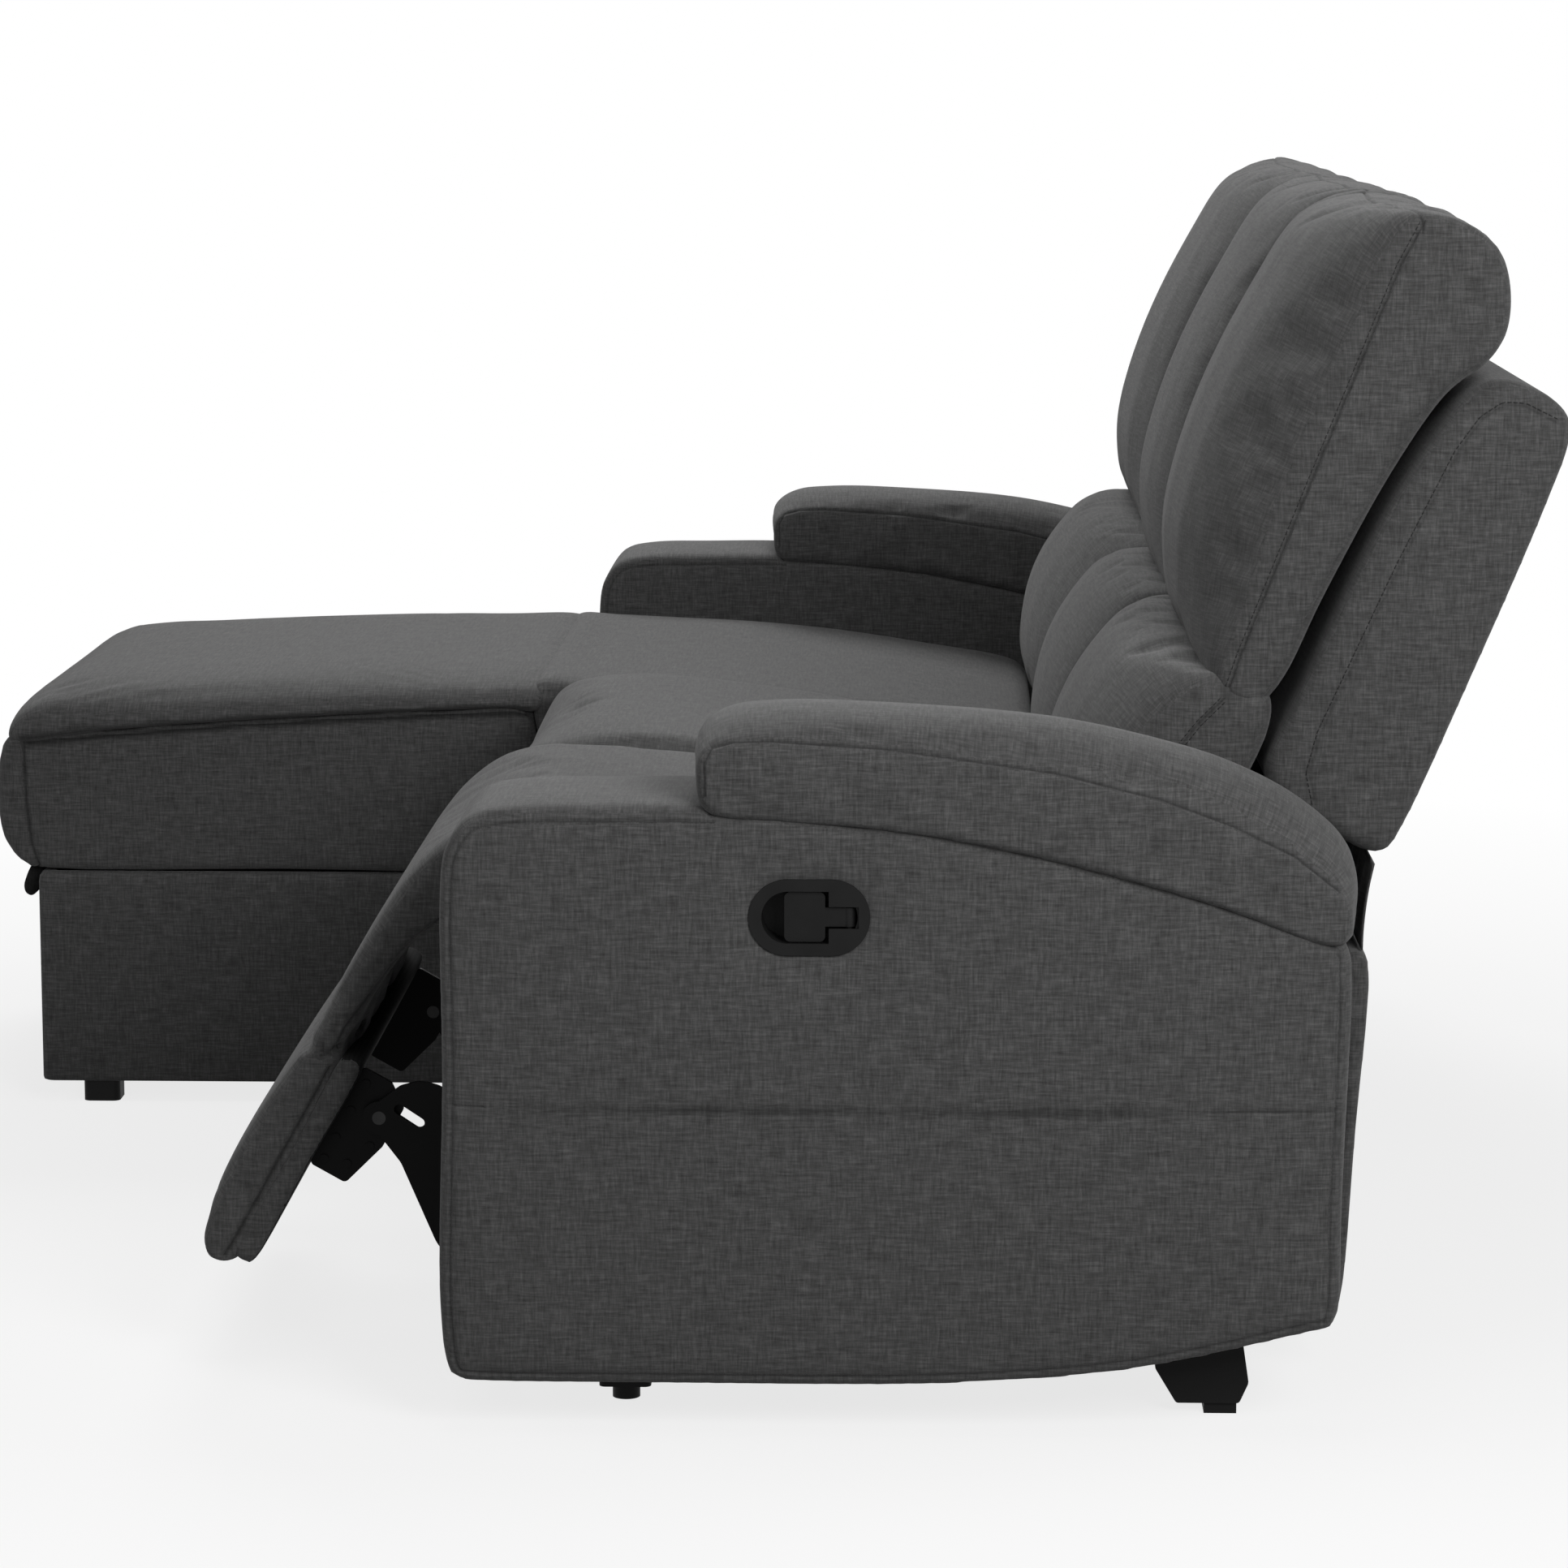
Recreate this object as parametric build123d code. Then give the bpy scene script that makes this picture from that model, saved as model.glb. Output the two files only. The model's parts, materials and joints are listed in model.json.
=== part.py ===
from build123d import *
from math import cos, hypot, radians, sin
import os

# Reclining corner sofa: a recliner with its arm, a middle seat and a chaise with a storage bin and an arm.
# Millimetres. X runs along the sofa, the recliner's arm at +X and the chaise at -X, and the sofa faces -Y.
# Outlines are pairs of depth and height. Depth is 0 at the front of the arms and grows to the rear, and
# height is 0 on the floor. Saving a piece moves it so that the origin is under the middle of the sofa.

os.makedirs("parts", exist_ok=True)

# Widths along the sofa
arm_width = 190
recliner_width = 540
middle_width = 540
chaise_width = 680
section_gap = 3

# Arms
arm_height = 535
arm_depth = 762
arm_rear_drop = 108
arm_slope_run = 362
arm_rear_lift = 48
arm_lift_run = 262
arm_rear_tuck = 12
foot_height = 48
cover_wall = 12
frame_gap = 0.5
panel_thickness = 12
pad_length = 545
pad_sides = 52
pad_crown = 22

# Seats
seat_height = 470
seat_depth = 505
cushion_thickness = 147
seat_fall = 60
seat_rail_height = 22
seat_rail_width = 40
webbing_thickness = 3
webbing_width = 50
webbing_straps = 5

# Base
board = 16
base_front = 30
base_rear = 752
rail_drop = 108
rear_panel_thickness = 22
rear_panel_foot = 62

# Backs, measured from the recline pivot
pivot_behind_seat = 135
pivot_below_seat = 70
shell_length = 340
shell_lean = 171
shell_thickness = 87
shell_start = (57, 140)
shell_toe_start = (88, 103)
shell_rear_start = (165, 70)
shell_rear_drop = 18
pillow_gap = 0.5

# Footrest and its links, measured from the fold at the front of the seat
footrest_rest_angle = 29.4
fold_ahead = 10
fold_below_seat = 30
flap_length = 182
board_setback = 13
footrest_board_length = 208
footrest_board_thickness = 20
footrest_margin = 5
link_base_behind_fold = 105
link_base_below_top = 26
bracket_reach = 34.7
bracket_eye_drop = 40
link_width = 30
link_thickness = 5
link_layer_gap = 2
torque_tube_radius = 10
slot_width = 9
rivet_radius = 4
rivet_head = 1.2
pin_radius = 6
running_clearance = 0.05
recline_arm_width = 30

# Release lever in the near arm
cup_depth_centre = 309
cup_below_arm_top = 89
cup_length = 101
cup_height = 64
cup_flange = 3
cup_body_length = 88
cup_body_height = 52
cup_body_deep = 34
cup_wall = 4
cup_clearance = 0.5
cup_lip = 2
cup_lip_gap = 3
cup_slot_clearance = 1.2
paddle_front = 288
paddle_neck = 322
paddle_pivot = 342
paddle_height = 42
paddle_tab_height = 16
paddle_thickness = 8
paddle_sink = 4
lever_pin_radius = 2.5
cable_radius = 3
cable_bend = 40
cable_depth = 318
cable_below_base_top = 48
cable_hole_clearance = 2

# Chaise: a bin, and a lid hinged in the groove across the seat
chaise_front = 568
chaise_bottom = 30
bin_below_base_top = 40
bin_floor_height = 42
bin_floor_thickness = 12
lid_shut_gap = 1
lid_board_thickness = 12
lid_border_below_seat = 60
lid_front_bulge = 611
groove_depth = -20
groove_width = 12
hinge_below_seat = 30
hinge_leaf = 2
hinge_knuckle_radius = 5
hinge_pin_radius = 2.5
hinge_knuckles = 5
hinge_end_margin = 40
hinge_knuckle_gap = 0.5

# Feet and bolts
foot_size = 45
foot_pad_radius = 12
foot_pad_height = 14
front_foot_depth = 147
front_foot_inset = 123
rear_foot_inset = 100
rear_foot_width = 40
rear_foot_reach = 162
chaise_foot_size = 40
chaise_foot_depth = -509
chaise_rear_foot_depth = -60
bolt_radius = 5
bolt_head_radius = 9
bolt_head_height = 7
bolt_clearance = 0.2
bolt_reaches = (362, 202)
bolt_below_base_top = 58
plate_to_bolt = 100

# Lines across the sofa
sofa_width = 2 * arm_width + recliner_width + middle_width + chaise_width
near_outer = sofa_width / 2
near_inner = near_outer - arm_width
middle_end = near_inner - recliner_width
chaise_end = middle_end - middle_width
far_inner = chaise_end - chaise_width
far_outer = far_inner - arm_width

# Heights and depths that follow
arm_level_depth = arm_depth - arm_slope_run
arm_bend_depth = arm_depth - arm_lift_run
pad_front = arm_depth - pad_length
cushion_bottom = seat_height - cushion_thickness
seat_rail_top = cushion_bottom - webbing_thickness
base_top = seat_rail_top - seat_rail_height
recline_pivot = (seat_depth + pivot_behind_seat, seat_height - pivot_below_seat)
fold = (-fold_ahead, seat_height - fold_below_seat)
rear_panel_front = base_rear + board
rail_low = base_top - rail_drop
bolt_height = base_top - bolt_below_base_top
bolt_depths = [arm_depth - reach for reach in bolt_reaches]
cable_height = base_top - cable_below_base_top
cup_height_centre = arm_height - cup_below_arm_top
bin_top = base_top - bin_below_base_top
hinge_height = seat_height - hinge_below_seat
lid_border_top = seat_height - lid_border_below_seat


sofa = {}


def save(name, *pieces):
    """Keeps one named piece, or a group of like pieces, until the whole sofa is written."""
    solids = [solid for piece in pieces for solid in piece.solids()]
    sofa[name] = solids[0] if len(solids) == 1 else Compound(solids)


def face_at(x, points, radii):
    """An outline of depths and heights as a face across the sofa at x."""
    corners = [(x, depth, height) for depth, height in points]
    return make_face(FilletPolyline(*corners, radius=radii, close=True))


def prism(points, x_low, x_high, radii=0.0):
    """An outline drawn out along the sofa."""
    if isinstance(radii, (int, float)):
        radii = [radii] * len(points)
    return extrude(face_at(x_low, points, radii), amount=x_high - x_low, dir=(1, 0, 0))


def slab(x_low, x_high, depth_low, depth_high, low, high):
    """A square-edged board."""
    size = Box(x_high - x_low, depth_high - depth_low, high - low)
    return Pos((x_low + x_high) / 2, (depth_low + depth_high) / 2, (low + high) / 2) * size


def rod(depth, height, radius, x_low, x_high):
    """A round bar along the sofa."""
    bar = Rot(0, 90, 0) * Cylinder(radius, x_high - x_low)
    return Pos((x_low + x_high) / 2, depth, height) * bar


def inset(points, distance):
    """The outline moved inwards by a distance. Points run with the inside on their left."""
    moved = []
    for index, (depth, height) in enumerate(points):
        before = points[index - 1]
        after = points[(index + 1) % len(points)]
        first = unit(before, (depth, height))
        second = unit((depth, height), after)
        turn = 1 + first[0] * second[0] + first[1] * second[1]
        moved.append((
            depth - distance * (first[1] + second[1]) / turn,
            height + distance * (first[0] + second[0]) / turn,
        ))
    return moved


def unit(start, end):
    length = hypot(end[0] - start[0], end[1] - start[1])
    return (end[0] - start[0]) / length, (end[1] - start[1]) / length


def between(start, end, share):
    return start[0] + share * (end[0] - start[0]), start[1] + share * (end[1] - start[1])


def strip(path, width):
    """The outline of a flat bar of one width that follows a bent path."""
    left, right = [], []
    for index, (depth, height) in enumerate(path):
        first = unit(path[max(index - 1, 0)], path[max(index, 1)])
        second = unit(path[min(index, len(path) - 2)], path[min(index + 1, len(path) - 1)])
        turn = 1 + first[0] * second[0] + first[1] * second[1]
        across = -(first[1] + second[1]) / turn, (first[0] + second[0]) / turn
        left.append((depth + across[0] * width / 2, height + across[1] * width / 2))
        right.append((depth - across[0] * width / 2, height - across[1] * width / 2))
    return right + left[::-1]


# Stations of a cushion along its width: share of the width, fullness, and how far the end is drawn in
cushion_stations = (
    (0, 0.05, 1),
    (0.03, 0.35, 0.3),
    (0.16, 0.78, 0),
    (0.5, 1, 0),
    (0.84, 0.78, 0),
    (0.97, 0.35, 0.3),
    (1, 0.05, 1),
)


def cushion(points, x_low, x_high, draw):
    """A stuffed form. Each point has a depth, a height, a corner radius and how far it swells both ways."""
    faces = []
    for share, fullness, drawn in cushion_stations:
        swollen = [(d + fullness * more_d, h + fullness * more_h) for d, h, r, more_d, more_h in points]
        x = x_low + share * (x_high - x_low)
        faces.append(face_at(x, inset(swollen, draw * drawn), [point[2] for point in points]))
    return loft(faces, ruled=True)


def stadium(depth, height, long, tall, x_low, x_high):
    """A block with round front and rear ends."""
    half = (long - tall) / 2
    middle = slab(x_low, x_high, depth - half, depth + half, height - tall / 2, height + tall / 2)
    ends = [rod(depth + side * half, height, tall / 2, x_low, x_high) for side in (-1, 1)]
    return middle + ends[0] + ends[1]


# Bolts between neighbouring sections: joint plane, and what each bolt grips on either side
arm_grip = cover_wall + frame_gap + panel_thickness
bolt_planes = (
    (near_inner, board, arm_grip),
    (middle_end, board, board),
    (chaise_end, board, board),
    (far_inner, arm_grip, board),
)


def bolt_holes():
    radius = bolt_radius + bolt_clearance
    holes = None
    for plane, low_grip, high_grip in bolt_planes:
        for depth in bolt_depths:
            hole = rod(depth, bolt_height, radius, plane - low_grip - 1, plane + high_grip + 1)
            holes = hole if holes is None else holes + hole
    return holes


bolt_bores = bolt_holes()


def bolts():
    pieces = []
    for plane, low_grip, high_grip in bolt_planes:
        low, high = plane - low_grip, plane + high_grip
        for depth in bolt_depths:
            shank = rod(depth, bolt_height, bolt_radius, low, high + bolt_head_height)
            head = rod(depth, bolt_height, bolt_head_radius, low - bolt_head_height, low)
            nut = rod(depth, bolt_height, bolt_head_radius, high, high + bolt_head_height)
            thread_radius = bolt_radius + running_clearance
            thread = rod(depth, bolt_height, thread_radius, high - 1, high + bolt_head_height + 1)
            pieces += [shank + head, nut - thread]
    return pieces


save("section_bolts", *bolts())

# Arms
arm_rear_height = arm_height - arm_rear_drop
arm_points = [
    (0, foot_height),
    (arm_bend_depth, foot_height),
    (arm_depth - arm_rear_tuck, foot_height + arm_rear_lift),
    (arm_depth, arm_rear_height),
    (arm_level_depth, arm_height),
    (0, arm_height),
]
arm_radii = [28, 800, 14, 10, 1000, 60]
cavity_points = inset(arm_points, cover_wall)
cavity_radii = [max(radius - cover_wall, 2) for radius in arm_radii]


def arm_bottom_at(depth):
    rise = arm_rear_lift / (arm_depth - arm_rear_tuck - arm_bend_depth)
    return foot_height + (depth - arm_bend_depth) * rise


def cup_cut(grow):
    """Room in the arm's outer face for the release cup."""
    flange = stadium(
        cup_depth_centre, cup_height_centre, cup_length + 2 * grow, cup_height + 2 * grow,
        near_outer - cup_flange - grow, near_outer + 1,
    )
    body = stadium(
        cup_depth_centre, cup_height_centre, cup_body_length + 2 * grow, cup_body_height + 2 * grow,
        near_outer - cup_body_deep - 10, near_outer,
    )
    return flange + body


def cable_hole(x_low, x_high):
    return rod(cable_depth, cable_height, cable_radius + cable_hole_clearance, x_low, x_high)


def arm_cover(x_low, x_high):
    """The padded fabric box round the arm's frame."""
    outer = prism(arm_points, x_low, x_high, arm_radii)
    hollow = prism(cavity_points, x_low + cover_wall, x_high - cover_wall, cavity_radii)
    return outer - hollow - bolt_bores


def arm_frame(x_low, x_high):
    """Two side panels with posts and a top block between them."""
    points = inset(arm_points, cover_wall + frame_gap)
    radii = [max(radius - cover_wall - frame_gap, 2) for radius in arm_radii]
    low, high = x_low + cover_wall + frame_gap, x_high - cover_wall - frame_gap
    inner_low, inner_high = low + panel_thickness, high - panel_thickness
    post_bottom = foot_height + cover_wall + arm_rear_lift
    post_top = arm_rear_height - 2 * cover_wall
    return [
        prism(points, low, inner_low, radii) - bolt_bores,
        prism(points, inner_high, high, radii) - bolt_bores,
        slab(inner_low, inner_high, 30, 70, post_bottom, post_top),
        slab(inner_low, inner_high, arm_depth - 70, arm_depth - 30, post_bottom, post_top),
        slab(inner_low, inner_high, 90, 210, arm_height - 70, arm_height - 30),
    ]



def arm_pad(x_low, x_high):
    """The stuffed pad on top of the arm, from behind its front step over its rear end."""
    seat = frame_gap
    slope = arm_rear_drop / (arm_depth - arm_level_depth)

    def seam(depth):
        return arm_height + pad_sides - slope * max(depth - arm_level_depth - 60, 0) * 0.9

    rear = arm_depth - 4
    points = [
        (pad_front, arm_height + seat, 8, 0, 0),
        (arm_level_depth, arm_height + seat, 1000 + seat, 0, 0),
        (rear, arm_height - slope * (rear - arm_level_depth) + seat, 8, 6, 0),
        (rear - 6, seam(rear) - 22, 15, 10, 14),
        (rear - 68, seam(rear - 68) - 6, 120, 0, pad_crown + 6),
        (rear - 198, seam(rear - 198), 300, 0, pad_crown + 4),
        (arm_level_depth, arm_height + pad_sides, 300, 0, pad_crown),
        (pad_front + 33, arm_height + pad_sides + 4, 30, 0, pad_crown - 4),
        (pad_front, arm_height + pad_sides - 8, 14, -3, 10),
    ]
    return cushion(points, x_low + 2, x_high - 2, 6)


near_cover = arm_cover(near_inner, near_outer) - cup_cut(cup_clearance)
save("near_arm_cover", near_cover - cable_hole(near_inner - 1, near_inner + cover_wall + 1))
near_panels = arm_frame(near_inner, near_outer)
near_panels[0] = near_panels[0] - cable_hole(near_inner, near_inner + arm_width / 2)
near_panels[1] = near_panels[1] - cup_cut(2 * cup_clearance)
save("near_arm_frame", *near_panels)
save("near_arm_pad", arm_pad(near_inner, near_outer))
save("far_arm_cover", arm_cover(far_outer, far_inner))
save("far_arm_frame", *arm_frame(far_outer, far_inner))
save("far_arm_pad", arm_pad(far_outer, far_inner))

# Release lever: a cup let into the near arm, a paddle on an upright pin, and the cable to the mechanism
cup_back = near_outer - cup_body_deep
paddle_outer = near_outer - paddle_sink
paddle_inner = paddle_outer - paddle_thickness
lever_pin_x = paddle_inner + paddle_thickness / 2
barrel_radius = paddle_thickness / 2 + 1


def upright(x, depth, radius, low, high):
    return Pos(x, depth, (low + high) / 2) * Cylinder(radius, high - low)


def lever_cup():
    """A flanged cup whose lip closes in round the paddle's tab."""
    centre = cup_depth_centre, cup_height_centre
    flange = stadium(*centre, cup_length, cup_height, near_outer - cup_flange, near_outer)
    body = stadium(*centre, cup_body_length, cup_body_height, cup_back, near_outer - cup_flange)
    pocket = stadium(
        *centre, cup_body_length - 2 * cup_wall, cup_body_height - 2 * cup_wall,
        cup_back + cup_wall, near_outer + 1,
    )
    half = cup_height / 2
    pin_bore = upright(
        lever_pin_x, paddle_pivot, lever_pin_radius + running_clearance,
        cup_height_centre - half, cup_height_centre + half,
    )
    lip_front = paddle_neck + cup_lip_gap
    lip_room = slab(
        near_outer - cup_lip, near_outer, lip_front, cup_depth_centre + cup_length / 2,
        cup_height_centre - half, cup_height_centre + half,
    )
    slot_half = paddle_tab_height / 2 + cup_slot_clearance
    slot = slab(
        near_outer - cup_lip - 1, near_outer + 1, lip_front - 1, paddle_pivot + barrel_radius + cup_lip_gap,
        cup_height_centre - slot_half, cup_height_centre + slot_half,
    )
    return flange + body - pocket - pin_bore + (pocket & lip_room) - slot


def lever_paddle():
    half, tab = paddle_height / 2, paddle_tab_height / 2
    low, high = cup_height_centre - half, cup_height_centre + half
    plate = slab(paddle_inner, paddle_outer, paddle_front, paddle_neck, low, high)
    plate = fillet(plate.edges().filter_by(Axis.X), 5)
    low, high = cup_height_centre - tab, cup_height_centre + tab
    neck = slab(paddle_inner, paddle_outer, paddle_neck - 6, paddle_pivot, low, high)
    barrel = upright(lever_pin_x, paddle_pivot, barrel_radius, low, high)
    bore = upright(lever_pin_x, paddle_pivot, lever_pin_radius + running_clearance, low - 1, high + 1)
    return plate + neck + barrel - bore


def release_cable():
    drop_x = near_outer - arm_width / 2 + 10
    path = FilletPolyline(
        (cup_back, cable_depth, cup_height_centre),
        (drop_x, cable_depth, cup_height_centre),
        (drop_x, cable_depth, cable_height),
        (near_inner - board, cable_depth, cable_height),
        radius=cable_bend,
    )
    start = Plane((cup_back, cable_depth, cup_height_centre), z_dir=(-1, 0, 0))
    return sweep(start * Circle(cable_radius), path=path)


save("lever_cup", lever_cup())
save("lever_paddle", lever_paddle())
pin_half = cup_body_height / 2 - 7
save("lever_pin", upright(
    lever_pin_x, paddle_pivot, lever_pin_radius, cup_height_centre - pin_half, cup_height_centre + pin_half,
))
save("release_cable", release_cable())


# Seat cushions
def seat_cushion(x_low, x_high, front):
    """A seat that falls to the rear, with a rounded front."""
    points = [
        (front + 8, cushion_bottom, 18, 0, 0),
        (seat_depth, cushion_bottom, 15, 0, 0),
        (seat_depth, seat_height - seat_fall, 25, 0, 6),
        (300, seat_height - 0.36 * seat_fall, 200, 0, 12),
        (front + 120, seat_height, 120, 0, 14),
        (front + 22, seat_height - 8, 42, -14, 18),
        (front, seat_height - 0.54 * cushion_thickness, 60, -8, 6),
    ]
    return cushion(points, x_low + section_gap, x_high - section_gap, 7)


save("near_seat_cushion", seat_cushion(middle_end, near_inner, -10))
save("middle_seat_cushion", seat_cushion(chaise_end, middle_end, 0))


def chaise_seat_cushion(x_low, x_high):
    """The fixed rear length of the chaise, rounded down into the groove at its front."""
    front = groove_depth + groove_width / 2 + frame_gap
    points = [
        (front, cushion_bottom, 4, 0, 0),
        (seat_depth, cushion_bottom, 15, 0, 0),
        (seat_depth, seat_height - seat_fall, 25, 0, 8),
        (260, seat_height - 32, 200, 0, 16),
        (front + 24, hinge_height, 20, 0, 26),
        (front, hinge_height - 16, 6, 0, 10),
    ]
    return cushion(points, x_low + section_gap, x_high - section_gap, 7)


save("chaise_seat_cushion", chaise_seat_cushion(far_inner, chaise_end))


# Seat rails and webbing, and the boards that carry them
def seat_rails(x_low, x_high):
    spots = base_front + 30, seat_depth - seat_rail_width
    return [slab(x_low, x_high, d, d + seat_rail_width, base_top, seat_rail_top) for d in spots]


def webbing(x_low, x_high):
    step = (x_high - x_low) / webbing_straps
    straps = []
    for index in range(webbing_straps):
        centre = x_low + (index + 0.5) * step
        low, high = centre - webbing_width / 2, centre + webbing_width / 2
        straps.append(slab(low, high, base_front + 30, seat_depth, seat_rail_top, cushion_bottom))
    return straps


def base_boards(x_low, x_high, low):
    """Two side boards and a rear rail."""
    return [
        slab(x_low, x_low + board, base_front, base_rear, low, base_top) - bolt_bores,
        slab(x_high - board, x_high, base_front, base_rear, low, base_top) - bolt_bores,
        slab(x_low, x_high, base_rear, base_rear + board, max(low, rail_low - 60), base_top),
    ]


near_boards = base_boards(middle_end, near_inner, rail_low)
near_boards[1] = near_boards[1] - cable_hole(near_inner - board - 1, near_inner + 1)
save("near_base", *near_boards, *seat_rails(middle_end, near_inner))
save("middle_base", *base_boards(chaise_end, middle_end, foot_height), *seat_rails(chaise_end, middle_end))
save("chaise_base", *base_boards(far_inner, chaise_end, foot_height))
save("seat_webbing", *webbing(middle_end, near_inner), *webbing(chaise_end, middle_end))
save("middle_front_panel", slab(
    chaise_end + section_gap, middle_end - section_gap, 8, base_front, foot_height + 4, cushion_bottom,
))


# Backs
def on_back(depth, height):
    """A place on a back, measured from the recline pivot."""
    return recline_pivot[0] + depth, recline_pivot[1] + height


shell_end = shell_start[0] + shell_lean, shell_start[1] + shell_length
shell_front_low = on_back(*shell_start)
shell_front_top = on_back(*shell_end)
shell_rear_top = on_back(shell_end[0] + shell_thickness, shell_end[1] - shell_rear_drop)
shell_rear_low = on_back(*shell_rear_start)
shell_toe = on_back(*shell_toe_start)
shell_points = [shell_toe, shell_rear_low, shell_rear_top, shell_front_top, shell_front_low]
shell_radii = [10, 14, 25, 25, 20]
shell_hollow = inset(shell_points, cover_wall)
mouth_out = unit(shell_rear_low, shell_toe)
mouth_drop = -mouth_out[1] * 40, mouth_out[0] * 40
mouth_points = [
    (shell_hollow[0][0] + mouth_drop[0], shell_hollow[0][1] + mouth_drop[1]),
    (shell_hollow[1][0] + mouth_drop[0], shell_hollow[1][1] + mouth_drop[1]),
    shell_hollow[1],
    shell_hollow[0],
]


def back_cover(x_low, x_high):
    """The upholstered shell, hollow and open below."""
    low, high = x_low + 2, x_high - 2
    outer = prism(shell_points, low, high, shell_radii)
    hollow = prism(shell_hollow, low + cover_wall, high - cover_wall)
    mouth = prism(mouth_points, low + cover_wall, high - cover_wall)
    return outer - hollow - mouth


def across_back(rise, share):
    """A place in the shell's hollow: rise from the bottom to the top, share from the front to the rear."""
    front = between(shell_hollow[4], shell_hollow[3], rise)
    rear = between(shell_hollow[1], shell_hollow[2], rise)
    return between(front, rear, share)


def back_rail(low, high, front, rear):
    corners = (low, front), (low, rear), (high, rear), (high, front)
    return [across_back(rise, share) for rise, share in corners]


def back_frame(x_low, x_high):
    """Two side boards, and rails between them behind the bars that carry the back."""
    side = inset(shell_points, cover_wall + frame_gap)
    low, high = x_low + board, x_high - board
    bottom_rail = back_rail(0.06, 0.22, 0.66, 0.97)
    top_rail = back_rail(0.8, 0.95, 0.1, 0.9)
    return [
        prism(side, x_low, low),
        prism(side, high, x_high),
        prism(bottom_rail, low, high),
        prism(top_rail, low, high),
    ]


pillow_rear_low = between(shell_front_low, shell_front_top, 0.2)
pillow_rear_top = between(shell_front_low, shell_front_top, 0.97)
pillow_end_draw = 7


def back_pillow(x_low, x_high):
    """The head pillow: flat against the shell, stuffed to the front, and rolled over the shell's top."""
    crown = [
        (*pillow_rear_low, 10, 0, 0),
        (*pillow_rear_top, 12, 0, 0),
        (*on_back(263, 530), 25, 0, 0),
        (*on_back(258, 585), 28, 0, 2),
        (*on_back(210, 622), 25, -8, 6),
        (*on_back(178, 615), 22, -46, 6),
        (*on_back(135, 500), 150, -98, 4),
        (*on_back(83, 366), 120, -92, 0),
        (*on_back(28, 222), 14, -22, 38),
    ]
    away = unit(shell_rear_top, shell_front_top)
    lifted = [(d + away[0] * pillow_gap, h + away[1] * pillow_gap, r, dd, dh) for d, h, r, dd, dh in crown]
    return cushion(lifted, x_low + 2, x_high - 2, pillow_end_draw)


def lumbar_roll(x_low, x_high):
    """The roll at the small of the back, which stands behind the seat."""
    points = [
        (*on_back(-28, 2), 8, 0, 0),
        (*on_back(44, 125), 20, 0, 0),
        (*on_back(76, 184), 10, 0, 0),
        (*on_back(24, 212), 14, -22, 36),
        (*on_back(-18, 185), 30, -34, 39),
        (*on_back(-62, 130), 60, -38, 37),
        (*on_back(-88, 70), 40, -38, 30),
        (*on_back(-84, 15), 14, -36, 25),
        (*on_back(-68, -2), 8, -27, 0),
    ]
    return cushion(points, x_low + 2, x_high - 2, 7)


arm_path = [recline_pivot, on_back(117, 92), on_back(172, 230)]
post_path = [on_back(50, -160), on_back(110, 84), on_back(172, 230)]
plate_layer = board + link_thickness
link_layer = plate_layer + link_layer_gap + link_thickness
backs = (
    ("near", middle_end, near_inner, link_layer),
    ("middle", chaise_end, middle_end, plate_layer),
    ("chaise", far_inner, chaise_end, plate_layer),
)
posts = []
for name, x_low, x_high, carrier in backs:
    save(f"{name}_back_cover", back_cover(x_low, x_high))
    save(f"{name}_back_frame", *back_frame(x_low + carrier, x_high - carrier))
    save(f"{name}_back_pillow", back_pillow(x_low, x_high))
    save(f"{name}_lumbar", lumbar_roll(x_low, x_high))
    if carrier == plate_layer:
        posts.append(prism(strip(post_path, recline_arm_width), x_low + board, x_low + plate_layer))
        posts.append(prism(strip(post_path, recline_arm_width), x_high - plate_layer, x_high - board))
save("back_posts", *posts)


# Rear of the base: a panel behind each seat, and a soft skirt where the recliner's back swings down
def rear_panel(x_low, x_high, top):
    rear = rear_panel_front + rear_panel_thickness
    return slab(x_low + 2, x_high - 2, rear_panel_front, rear, rear_panel_foot, top)


swing_clearance = 8
fixed_panel_top = shell_rear_low[1] - 5
skirt_bottom = recline_pivot[1] - swing_clearance - 7
save("near_rear_panel", rear_panel(middle_end, near_inner, skirt_bottom - 1))
save(
    "fixed_rear_panels",
    rear_panel(chaise_end, middle_end, fixed_panel_top),
    rear_panel(far_inner, chaise_end, fixed_panel_top),
)
save("rear_skirt", slab(
    middle_end + 2, near_inner - 2, rear_panel_front + 6, rear_panel_front + 18,
    skirt_bottom, fixed_panel_top - 4,
))

# Recliner mechanism. The links make a parallelogram with the fold at the front of the seat.
footrest_down = -sin(radians(footrest_rest_angle)), -cos(radians(footrest_rest_angle))
footrest_out = footrest_down[1], -footrest_down[0]


def on_footrest(down, out):
    """A place on the footrest: how far down from the fold, and how far out towards the front."""
    return (
        fold[0] + down * footrest_down[0] + out * footrest_out[0],
        fold[1] + down * footrest_down[1] + out * footrest_out[1],
    )


board_end = flap_length + footrest_board_length
board_face = footrest_board_thickness - board_setback
link_base = fold[0] + link_base_behind_fold, base_top - link_base_below_top
bracket_eye = on_footrest(flap_length + bracket_eye_drop, -board_setback - bracket_reach)
knee = bracket_eye[0] + link_base_behind_fold, bracket_eye[1] + link_base[1] - fold[1]


def layers(first, last):
    """The same layers at both sides of the recliner, measured in from its side boards' outer faces."""
    return (near_inner - last, near_inner - first), (middle_end + first, middle_end + last)


plate_span = board, plate_layer
lower_span = plate_layer + link_layer_gap, link_layer
upper_span = link_layer + link_layer_gap, link_layer + link_layer_gap + link_thickness
bracket_span = upper_span[1] + link_layer_gap, upper_span[1] + link_layer_gap + link_thickness


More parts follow.
